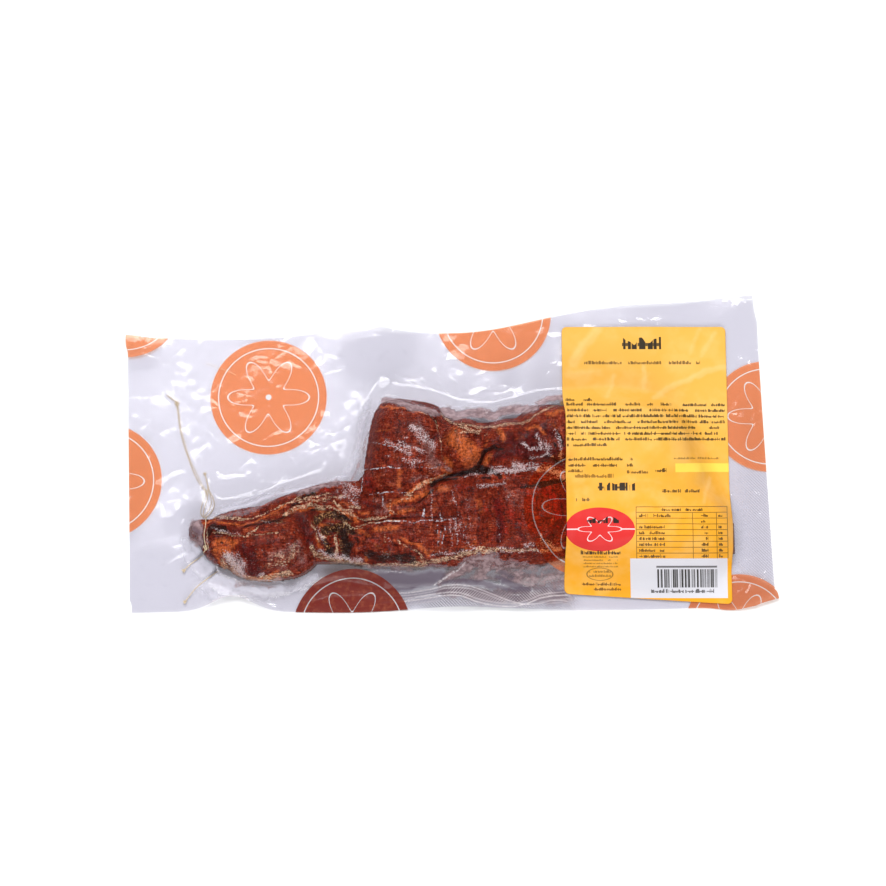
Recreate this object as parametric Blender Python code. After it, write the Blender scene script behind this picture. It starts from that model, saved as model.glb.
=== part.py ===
"""A vacuum-packed piece of roast pork: a clear pouch drawn tight over the meat, with a paper label stuck across it.

Metres, +Z up. The pouch lies flat: X runs along it, Y across it, and the surface it lies on is Z = 0.
The pouch is one closed solid, from its flat back film to its front film, which follows the meat.
"""

import bmesh
import bpy
import numpy as np

MM = 0.001

# Pouch, in millimetres: the real sizes and the places of its four corners
CORNERS = {"back_left": (-168.4, 60.7), "back_right": (156.8, 81.6), "front_left": (-161.5, -83.6),
           "front_right": (166.1, -76.4)}
FLANGE = 0.7            # both films and the air between them, where there is no meat
FILLET = 8.0            # radius with which the film leaves the meat and comes down to the flange
MEAT_HEIGHT = 1.1       # scale of every lump's height
FULLNESS = 3.2          # how flat a lump's top is before its side falls

# Where the vacuum has drawn an edge in: place along X, how far the edge moves along Y, and the length it fades over
BACK_EDGE_PULL = [(-98, -6, 58), (-45.5, 3, 13.5), (9, -9.5, 49), (116, -1, 21)]
FRONT_EDGE_PULL = [(-110.5, 7.5, 14), (-48, -2, 48), (1, 1.5, 32), (99, -4, 100), (143, -2, 10)]

# Label: its edges in plan. Its front edge is drawn back where it climbs over the meat.
LABEL_LEFT, LABEL_RIGHT = 57.5, 142.5
LABEL_BACK = 65.2
LABEL_FRONT_LEFT, LABEL_FRONT_RIGHT = -74.0, -79.3
LABEL_THICK = 0.35
LABEL_GAP = 0.35
LABEL_CORNER = 1.4
FRONT_MARGIN = 6.5      # from the pouch's front edge to the row of faces that the label's front edge follows

# Faces along and across the pouch: left of, under and right of the label, and in front of, under and behind it
COLUMNS = (43, 16, 4)
ROWS = (2, 26, 3)

# The meat's lumps: centre x and y, half length, half width, turn in degrees, height, squareness of the outline
LUMPS = {
    "tip": (-127, -42, 6.5, 5.5, 20, 9, 2.0),
    "knuckle": (-113, -49, 14, 12, -25, 15, 2.2),
    "tail_back": (-103, -37.5, 20, 7, 8, 11, 2.4),
    "tail_front": (-91, -51.5, 24, 16, 3, 21, 2.5),
    "back_strip": (-74, -30, 30, 9, 18, 13, 2.4),
    "charred_bend": (-59, -44, 15, 15, 0, 20, 2.2),
    "front_strip": (0, -49.5, 62, 12.5, 0, 24, 3.0),
    "slanted_strip": (-14, -30, 34, 11, 20, 23, 2.4),
    "strip_join": (8, -36, 17, 13, 10, 22, 2.4),
    "block": (-23, -3, 20, 28, -8, 26, 4.0),
    "small_lump": (6, -2, 12, 17, 0, 26, 2.3),
    "back_lump": (28, -4, 19, 18, 10, 28, 2.4),
    "back_right_lump": (50, 3, 19, 19, 0, 27, 2.4),
    "front_lump": (38, -34, 29, 24, 0, 28, 3.0),
    "label_back": (86, 0, 37, 24, -4, 25, 2.6),
    "label_front": (92, -38, 48, 23, -2, 26, 2.8),
    "label_middle": (88, -18, 42, 22, -2, 22, 3.0),
    "end": (123, -42, 20, 18, -15, 18, 2.4),
    "end_tip": (135, -49, 9, 9, 0, 10, 2.0),
}
BLEND = 7               # the higher, the sharper the valleys between lumps

# Grooves pressed into the meat: points x, y, then width and depth
GROOVES = {
    "under_block": ([(-47, -35), (-30, -32), (-10, -25), (6, -18), (20, -15.5), (40, -14), (60, -18)], 3.5, 7),
    "along_strip": ([(-50, -42), (-20, -39), (2, -37.5), (18, -37)], 2.2, 2.5),
    "beside_block": ([(-4, 20), (-3, 0), (0, -14)], 2.6, 4),
    "between_lumps": ([(14, -13), (18, -4), (30, 1), (46, 4)], 2.6, 4),
    "tail": ([(-118, -45), (-104, -47), (-88, -41), (-72, -37)], 2.4, 3.5),
    "bend": ([(-73, -60), (-68, -50), (-70, -40)], 2.6, 5),
}

# Ridges that stretched film makes: start x, y, z, end x, y, z, half width
RIDGES = [
    (-34, 27, 10, -39, 61, 2.0, 3.0),
    (-124, -34, 7, -140, 24, 1.5, 4.0),
    (3, -61, 8, -14, -74, 2.5, 3.5),
    (-112, -56, 8, -116, -74, 3.0, 4.0),
    (-50, -14, 9, -66, 8, 1.0, 3.5),
]

# Where the flange lifts off the surface: x, y, radius, height
LIFTS = [(-41, 62, 16, 3.0), (-110, -76, 14, 4.0), (2, -77, 17, 3.5), (36, -82, 14, 1.5), (156, 80, 18, 2.5),
         (-168, 60, 16, 1.5), (160, -78, 15, 1.5), (100, 78, 20, 1.2)]
REST_MARGIN = 4.0       # how far the flat back film reaches past the meat
LIFT_FADE = 10.0        # length over which the lift then comes in

STEP = 1.0              # spacing of the height map
RELAX_PASSES = 700

PAPER_YELLOW = (0.91, 0.50, 0.045)
FILM_OVER_MEAT = (0.28, 0.075, 0.04)


def edge_pull(x, pulls):
    return sum(move * np.exp(-(((x - place) / fade) ** 2)) for place, move, fade in pulls)


def front_edge(x):
    (x0, y0), (x1, y1) = CORNERS["front_left"], CORNERS["front_right"]
    inside = np.clip((x - x0) / 12, 0, 1) * np.clip((x1 - x) / 12, 0, 1)
    return y0 + (y1 - y0) * (x - x0) / (x1 - x0) + edge_pull(x, FRONT_EDGE_PULL) * inside


def back_edge(x):
    (x0, y0), (x1, y1) = CORNERS["back_left"], CORNERS["back_right"]
    inside = np.clip((x - x0) / 12, 0, 1) * np.clip((x1 - x) / 12, 0, 1)
    return y0 + (y1 - y0) * (x - x0) / (x1 - x0) + edge_pull(x, BACK_EDGE_PULL) * inside


def side_edge(front, back, share):
    """X of a side edge at a share of the way from its front corner to its back one, slightly bowed."""
    return front[0] + (back[0] - front[0]) * share + 1.2 * np.sin(2 * np.pi * share)


def label_front(x):
    """Y of the row of faces that the label's front edge follows, all along the pouch."""
    share = np.clip((x - LABEL_LEFT) / (LABEL_RIGHT - LABEL_LEFT), 0, 1)
    on_label = LABEL_FRONT_LEFT + (LABEL_FRONT_RIGHT - LABEL_FRONT_LEFT) * share
    away = np.clip(np.abs(x - (LABEL_LEFT + LABEL_RIGHT) / 2) - (LABEL_RIGHT - LABEL_LEFT) / 2, 0, 25) / 25
    return on_label * (1 - away) + (front_edge(x) + FRONT_MARGIN) * away


def label_back(x):
    """Y of the row of faces that the label's back edge follows, all along the pouch."""
    away = np.clip(np.abs(x - (LABEL_LEFT + LABEL_RIGHT) / 2) - (LABEL_RIGHT - LABEL_LEFT) / 2, 0, 40) / 40
    return LABEL_BACK * (1 - away) + (back_edge(x) - 9) * away


def stops(counts):
    """Cumulative shares 0 to 1 to 2 to 3 for three stretches with these numbers of faces."""
    return np.concatenate([[0.0]] + [part + np.arange(1, n + 1) / n for part, n in enumerate(counts)])


def between(share, edges):
    """The value at share 0 to 3 between four edges, straight from each to the next."""
    part = min(int(share), 2)
    return edges[part] + (edges[part + 1] - edges[part]) * (share - part)


def plan_point(along, across):
    """Place in plan of a point of the face grid."""
    left = side_edge(CORNERS["front_left"], CORNERS["back_left"], across / 3)
    right = side_edge(CORNERS["front_right"], CORNERS["back_right"], across / 3)
    x = between(along, (left, LABEL_LEFT, LABEL_RIGHT, right))
    return x, between(across, (front_edge(x), label_front(x), label_back(x), back_edge(x)))


def lump_height(x, y, lump):
    cx, cy, length, width, turn, height, square = lump
    angle = np.radians(turn)
    a = ((x - cx) * np.cos(angle) + (y - cy) * np.sin(angle)) / length
    b = (-(x - cx) * np.sin(angle) + (y - cy) * np.cos(angle)) / width
    radius = (np.abs(a) ** square + np.abs(b) ** square) ** (1 / square)
    return MEAT_HEIGHT * height * np.clip(1 - radius**FULLNESS, 0, 1) ** 0.5


def line_distance(x, y, start, end):
    """Distance in plan to a straight line, and the share of the way along it."""
    dx, dy = end[0] - start[0], end[1] - start[1]
    share = np.clip(((x - start[0]) * dx + (y - start[1]) * dy) / (dx * dx + dy * dy), 0, 1)
    return np.hypot(x - start[0] - share * dx, y - start[1] - share * dy), share


def meat_height(x, y):
    total = sum(lump_height(x, y, lump) ** BLEND for lump in LUMPS.values()) ** (1 / BLEND)
    for points, width, depth in GROOVES.values():
        near = np.min([line_distance(x, y, a, b)[0] for a, b in zip(points, points[1:])], axis=0)
        total = total - depth * np.exp(-((near / width) ** 2)) * np.clip(total / 10, 0, 1)
    return np.clip(total, 0, None)


def ridge_height(x, y):
    top = np.zeros_like(x)
    for x0, y0, z0, x1, y1, z1, width in RIDGES:
        near, share = line_distance(x, y, (x0, y0), (x1, y1))
        top = np.maximum(top, (z0 + (z1 - z0) * share) * (1 - near / width))
    return top


def flange_lift(x, y, meat):
    """Height of the back film: raised in places round the edge, and flat on the surface under the meat."""
    lift = sum(h * np.exp(-(((x - cx) ** 2 + (y - cy) ** 2) / r**2)) for cx, cy, r, h in LIFTS)
    return lift * meat_clearance(meat)


def meat_clearance(meat):
    """0 under the meat and for REST_MARGIN round it, rising to 1 over LIFT_FADE."""
    away = np.where(meat > 0.5, 0.0, REST_MARGIN + LIFT_FADE)
    for _ in range(int((REST_MARGIN + LIFT_FADE) / STEP)):
        away[1:] = np.minimum(away[1:], away[:-1] + STEP)
        away[:-1] = np.minimum(away[:-1], away[1:] + STEP)
        away[:, 1:] = np.minimum(away[:, 1:], away[:, :-1] + STEP)
        away[:, :-1] = np.minimum(away[:, :-1], away[:, 1:] + STEP)
    return np.clip((away - REST_MARGIN) / LIFT_FADE, 0, 1)


def film_maps():
    """Height maps over the plan, in millimetres: x, y, the back film and the front film drawn over the meat."""
    xs = np.arange(-176, 176 + STEP, STEP)
    ys = np.arange(-92, 92 + STEP, STEP)
    x, y = np.meshgrid(xs, ys, indexing="ij")
    meat = meat_height(x, y)
    back = flange_lift(x, y, meat)
    held = np.maximum(np.maximum(meat, ridge_height(x, y)), back + FLANGE)
    front = held.copy()
    sag = STEP**2 / (4 * FILLET)
    for _ in range(RELAX_PASSES):
        middle = (front[:-2, 1:-1] + front[2:, 1:-1] + front[1:-1, :-2] + front[1:-1, 2:]) / 4 - sag
        front[1:-1, 1:-1] = np.maximum(held[1:-1, 1:-1], middle)
    return xs, ys, back, front


def read_map(xs, ys, values, x, y):
    """Value of a height map between its points."""
    i = min(max((x - xs[0]) / STEP, 0), len(xs) - 1.001)
    j = min(max((y - ys[0]) / STEP, 0), len(ys) - 1.001)
    a, b = int(i), int(j)
    fa, fb = i - a, j - b
    low = values[a, b] * (1 - fb) + values[a, b + 1] * fb
    high = values[a + 1, b] * (1 - fb) + values[a + 1, b + 1] * fb
    return low * (1 - fa) + high * fa


def film_sheet(maps):
    """The front film as a triangulated grid of faces in metres, with the back film's height in a vertex layer."""
    xs, ys, back, front = maps
    along, across = stops(COLUMNS), stops(ROWS)
    mesh = bmesh.new()
    bmesh.ops.create_grid(mesh, x_segments=len(along) - 1, y_segments=len(across) - 1, size=0.5)
    low = mesh.verts.layers.float.new("back_film")
    under = mesh.faces.layers.int.new("under_label")
    for face in mesh.faces:
        middle = face.calc_center_median()
        column = (middle.x + 0.5) * (len(along) - 1)
        row = (middle.y + 0.5) * (len(across) - 1)
        inside = COLUMNS[0] < column < COLUMNS[0] + COLUMNS[1] and ROWS[0] < row < ROWS[0] + ROWS[1]
        face[under] = int(inside)
    for vert in mesh.verts:
        i = round((vert.co.x + 0.5) * (len(along) - 1))
        j = round((vert.co.y + 0.5) * (len(across) - 1))
        x, y = plan_point(along[i], across[j])
        vert[low] = read_map(xs, ys, back, x, y) * MM
        vert.co = (x * MM, y * MM, read_map(xs, ys, front, x, y) * MM)
    bmesh.ops.triangulate(mesh, faces=mesh.faces, quad_method="ALTERNATE")
    mesh.normal_update()
    return mesh, low, under


def close_sheet(mesh, lower):
    """Adds a copy of an open sheet below it, each vertex moved by lower(vert), and joins the two rims."""
    top_verts = list(mesh.verts)
    moved = [lower(vert) for vert in top_verts]
    for index, vert in enumerate(top_verts):
        vert.index = index
    made = bmesh.ops.duplicate(mesh, geom=list(mesh.verts) + list(mesh.edges) + list(mesh.faces))
    copy_of = made["vert_map"]
    for vert, place in zip(top_verts, moved):
        copy_of[vert].co = place
    new_faces = [g for g in made["geom"] if isinstance(g, bmesh.types.BMFace)]
    bmesh.ops.reverse_faces(mesh, faces=new_faces)
    rims = [edge for edge in mesh.edges if edge.is_boundary]
    bmesh.ops.bridge_loops(mesh, edges=rims)
    bmesh.ops.triangulate(mesh, faces=[f for f in mesh.faces if len(f.verts) > 3])
    bmesh.ops.recalc_face_normals(mesh, faces=mesh.faces)


def bag_mesh(maps):
    mesh, low, _ = film_sheet(maps)
    close_sheet(mesh, lambda vert: (vert.co.x, vert.co.y, vert[low]))
    return mesh


def label_mesh(maps):
    """The label lies on the same grid of faces as the pouch, so the gap between the two is even."""
    mesh, _, under = film_sheet(maps)
    normals = {vert: vert.normal.copy() for vert in mesh.verts}
    bmesh.ops.delete(mesh, geom=[f for f in mesh.faces if not f[under]], context="FACES")
    under_side = {vert: vert.co + normals[vert] * LABEL_GAP * MM for vert in mesh.verts}
    for vert in mesh.verts:
        vert.co += normals[vert] * (LABEL_GAP + LABEL_THICK) * MM
    close_sheet(mesh, lambda vert: under_side[vert])
    round_label_corners(mesh)
    return mesh


def round_label_corners(mesh):
    corners = [(x, y) for x in (LABEL_LEFT, LABEL_RIGHT) for y in (LABEL_BACK, label_front(x))]
    upright = []
    for x, y in corners:
        nearest = sorted(mesh.verts, key=lambda v: (v.co.x / MM - x) ** 2 + (v.co.y / MM - y) ** 2)[:2]
        edge = mesh.edges.get(nearest)
        if edge is not None:
            upright.append(edge)
    bmesh.ops.bevel(mesh, geom=upright, offset=LABEL_CORNER * MM, segments=2, profile=0.5, affect="EDGES")
    bmesh.ops.triangulate(mesh, faces=[f for f in mesh.faces if len(f.verts) > 3])


def plain_material(name, colour, roughness, coat):
    material = bpy.data.materials.new(name)
    material.use_nodes = True
    shader = material.node_tree.nodes["Principled BSDF"]
    shader.inputs["Base Color"].default_value = (*colour, 1)
    shader.inputs["Roughness"].default_value = roughness
    shader.inputs["Metallic"].default_value = 0
    shader.inputs["Coat Weight"].default_value = coat
    return material


def add_object(name, built, material, collection, offset):
    data = bpy.data.meshes.new(name)
    bmesh.ops.translate(built, verts=built.verts, vec=offset)
    built.to_mesh(data)
    built.free()
    data.materials.append(material)
    data.shade_smooth()
    thing = bpy.data.objects.new(name, data)
    collection.objects.link(thing)
    return thing


def main():
    for thing in list(bpy.data.objects):
        bpy.data.objects.remove(thing)
    collection = bpy.data.collections.new("packed_roast_pork")
    bpy.context.scene.collection.children.link(collection)
    maps = film_maps()
    bag, label = bag_mesh(maps), label_mesh(maps)
    # The origin is on the surface, under the middle of the pouch
    spans = [[v.co[axis] for v in bag.verts] for axis in (0, 1)]
    offset = (-(min(spans[0]) + max(spans[0])) / 2, -(min(spans[1]) + max(spans[1])) / 2, 0)
    add_object("bag", bag, plain_material("film_over_meat", FILM_OVER_MEAT, 0.3, 0.5), collection, offset)
    add_object("label", label, plain_material("paper_label", PAPER_YELLOW, 0.6, 0.0), collection, offset)


main()
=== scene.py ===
"""A vacuum-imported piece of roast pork: the meat, the clear printed pouch, its string and its paper label.

The plan is in millimetres, in the same place as in the part's source. PLAN_ORIGIN moves it to the frame.
"""

import functools
import math

import bmesh
import bpy
import numpy as np
from mathutils import Color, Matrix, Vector


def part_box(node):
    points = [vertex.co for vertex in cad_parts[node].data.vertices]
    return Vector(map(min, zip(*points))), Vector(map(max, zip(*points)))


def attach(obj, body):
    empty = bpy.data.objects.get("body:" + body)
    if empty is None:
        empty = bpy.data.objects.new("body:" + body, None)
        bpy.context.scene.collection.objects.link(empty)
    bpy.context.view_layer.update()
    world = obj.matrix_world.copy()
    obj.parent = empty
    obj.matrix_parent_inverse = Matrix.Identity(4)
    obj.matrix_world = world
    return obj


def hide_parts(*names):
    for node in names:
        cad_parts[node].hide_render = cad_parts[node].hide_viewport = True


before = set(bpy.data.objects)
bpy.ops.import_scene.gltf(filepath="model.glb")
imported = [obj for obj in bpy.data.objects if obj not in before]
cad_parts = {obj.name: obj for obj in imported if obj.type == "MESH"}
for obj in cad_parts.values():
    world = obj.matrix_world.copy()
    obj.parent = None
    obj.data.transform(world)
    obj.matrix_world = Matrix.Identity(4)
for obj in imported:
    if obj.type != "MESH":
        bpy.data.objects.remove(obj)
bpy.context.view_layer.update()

bl_info = {
    "name": "Vacuum-packed roast pork",
    "version": (1, 0, 0),
    "blender": (4, 5, 0),
    "location": "3D View > Sidebar > Packed pork",
    "description": "Frozen roast pork in a clear printed pouch, with its string and a paper label",
    "category": "Object",
}

MM = 0.001

# The pouch's plan, as in the part's source
CORNERS = {"back_left": (-168.4, 60.7), "back_right": (156.8, 81.6), "front_left": (-161.5, -83.6),
           "front_right": (166.1, -76.4)}
# Where a long edge is drawn in or bulges: x, how far it moves, over what length
BACK_EDGE_PULL = [(-98, -6, 58), (-45.5, 3, 13.5), (9, -9.5, 49), (116, -1, 21)]
FRONT_EDGE_PULL = [(-110.5, 7.5, 14), (-48, -2, 48), (1, 1.5, 32), (99, -4, 100), (143, -2, 10)]
LABEL_LEFT, LABEL_RIGHT = 57.5, 142.5
LABEL_BACK = 65.2
LABEL_FRONT_LEFT, LABEL_FRONT_RIGHT = -74.0, -79.3
LABEL_CORNER = 2.6      # radius of the label's corners
FRONT_MARGIN = 6.5      # a row of the pouch's grid runs this far in from its front edge
BACK_MARGIN = 9         # and another this far in from its back edge
CORNER_FADE = 12        # an edge's pulls die away over this length at a corner
SIDE_BOW = 1.2          # how far a side edge sways to either side of a straight line
MEAT_HEIGHT = 1.1       # factor on every lump's height
FULLNESS = 3.2          # how soon a lump rises to its full height, inwards from its outline

# The meat's lumps: centre x and y, half length, half width, turn in degrees, height, squareness of outline
LUMPS = {
    "tip": (-127, -42, 6.5, 5.5, 20, 9, 2.0),
    "knuckle": (-113, -49, 14, 12, -25, 15, 2.2),
    "tail_back": (-103, -37.5, 20, 7, 8, 11, 2.4),
    "tail_front": (-91, -51.5, 24, 16, 3, 21, 2.5),
    "back_strip": (-74, -30, 30, 9, 18, 13, 2.4),
    "charred_bend": (-59, -44, 15, 15, 0, 20, 2.2),
    "front_strip": (0, -49.5, 62, 12.5, 0, 24, 3.0),
    "slanted_strip": (-14, -30, 34, 11, 20, 23, 2.4),
    "strip_join": (8, -36, 17, 13, 10, 22, 2.4),
    "block": (-23, -3, 20, 28, -8, 26, 4.0),
    "small_lump": (6, -2, 12, 17, 0, 26, 2.3),
    "back_lump": (28, -4, 19, 18, 10, 28, 2.4),
    "back_right_lump": (50, 3, 19, 19, 0, 27, 2.4),
    "front_lump": (38, -34, 29, 24, 0, 28, 3.0),
    "label_back": (86, 0, 37, 24, -4, 25, 2.6),
    "label_front": (92, -38, 48, 23, -2, 26, 2.8),
    "label_middle": (88, -18, 42, 22, -2, 22, 3.0),
    "end": (123, -42, 20, 18, -15, 18, 2.4),
    "end_tip": (135, -49, 9, 9, 0, 10, 2.0),
}
BLEND = 7               # how tightly the lumps run into each other

# Crevices between the lumps: points x, y, then width and depth
CREVICES = [
    ([(-10, -22.3), (-5, -18.6), (0.5, -16.1), (6.1, -14.6), (12.6, -13.4), (19.1, -14.9)], 1.8, 3),
    ([(14.1, -12.1), (14.6, -8.8), (17.1, -5.6), (21, -4.4), (26, -4)], 1.5, 2.4),
    ([(-46.7, -41), (-38.1, -40), (-31.5, -39.5), (-23.5, -39.3), (-13, -39), (-4.5, -38.5),
      (3.5, -38.8)], 0.8, 0.9),
    ([(-7.5, 10.9), (-5.5, 5.3), (-5, -1.4), (-4.5, -7.5), (-3, -11.3)], 1, 1.2),
    ([(-22, -31.9), (-15.5, -30.8), (-12.5, -26.8), (-9, -23.1)], 1, 1.2),
    ([(-120.1, -45.4), (-109.9, -46.8), (-100.3, -47.9), (-94.3, -47.2), (-86.9, -46.4)], 1, 1),
    ([(-70.3, -39.1), (-67.1, -45.2), (-66.6, -51.6), (-69.3, -56.4)], 1.2, 1.5),
    ([(-82, -37.4), (-76.1, -33.2), (-68.5, -31.7), (-60.8, -33.1), (-53.1, -38.6)], 1, 1.4),
    ([(-57.6, -23.2), (-55.1, -24.7), (-52.7, -21.8)], 1.5, 2),
    ([(-25.9, -50.6), (-20.4, -53.7), (-16.4, -56.4), (-13, -59.7)], 0.8, 1),
    ([(31.9, -11.5), (39.5, -10), (47.1, -10.1), (55.2, -11.8)], 0.8, 1),
]

# Ridges that stretched film makes: start x, y, z, end x, y, z, half width
RIDGES = [
    (-34, 27, 4.5, -39, 61, 1.2, 5.0),
    (-124, -34, 7, -140, 24, 1.5, 4.0),
    (3, -61, 8, -14, -74, 2.5, 3.5),
    (-112, -56, 8, -116, -74, 3.0, 4.0),
    (-50, -14, 9, -66, 8, 1.0, 3.5),
]

# Where the flange lifts off the surface: x, y, radius, height
LIFTS = [(-41, 62, 16, 3.0), (-110, -76, 14, 4.0), (2, -77, 17, 3.5), (36, -82, 14, 1.5), (156, 80, 18, 2.5),
         (-168, 60, 16, 1.5), (160, -78, 15, 1.5), (100, 78, 20, 1.2)]
REST_MARGIN = 4.0       # the back film rests flat this far round the meat
LIFT_FADE = 10.0        # and lifts freely this much farther out

# Height maps: a coarse pass finds where the film spans, and a fine one pulls it onto the meat's relief
COARSE = 1.0
FINE = 0.5
COARSE_PASSES = 700
FINE_PASSES = 60
SPAN_FILLET = 8.0       # radius of the hollow where the film spans from meat to table
FILL_FILLET = 5.0       # the meat fills the hollows between its lumps to this radius
FILL_PASSES = 150
GAP_FILLED = 5.0        # gaps between lumps up to twice this wide are filled
EDGE_HEIGHT = 1.2       # the meat's outline lies where its form is this high
HUG_FILLET = 2.6        # radius of the film's hollows in the meat's own relief
FILM_GAP = 0.3          # between the two films where there is no meat
MEAT_GAP = 0.12         # between the meat and the front film
MEAT_FLOOR = 0.35       # height of the meat's flat underside, on the back film
WAVER = 1.1             # how far the edges of painted strokes waver
STRING_RADIUS = 0.25
STRING_STAND = 2.8      # how far the film stands off under the string, in string radii
STRING_TENT = 0.55      # how steeply it falls away beside the string
STRING_CLEAR = 1.1      # no frost lies on the film this near to the string
BACK_FILM_LIFT = 0.05   # between the surface and the back film
LABEL_LIFT = 0.22       # between the front film and the label
EMBOSS_PITCH = 1.55     # between the films' embossed lines, measured along the pouch
EMBOSS_TURN = 26        # from this x on the front film's embossed lines slant the other way
EMBOSS_OVERLAP = 14     # past the turn, both slants show for this length
LABEL_LENGTH = 142
HIDDEN_FROM = LABEL_LEFT + 3    # from this x on the meat lies under the label, and its grid is coarser
HIDDEN_STEP = 3                 # one grid line is kept of this many there

# The camera's lens and sensor, in millimetres, and where it aims in plan
LENS, SENSOR_WIDTH = 86.96, 36
CAMERA_AIM = (-4, 4)
# Softboxes: place from the point that the camera aims at, then width and depth, in metres
SOFTBOXES = {
    "key": ((-0.15, 0.9, 1.3), (1.2, 0.8)),
    "front": ((0.3, -1.4, 0.9), (1.4, 0.8)),
    "sheen": ((-0.1, 0.6, 1.35), (0.9, 0.14)),
}
FLOOR_REACH, FLOOR_HEIGHT = 3, -0.0003

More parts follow.
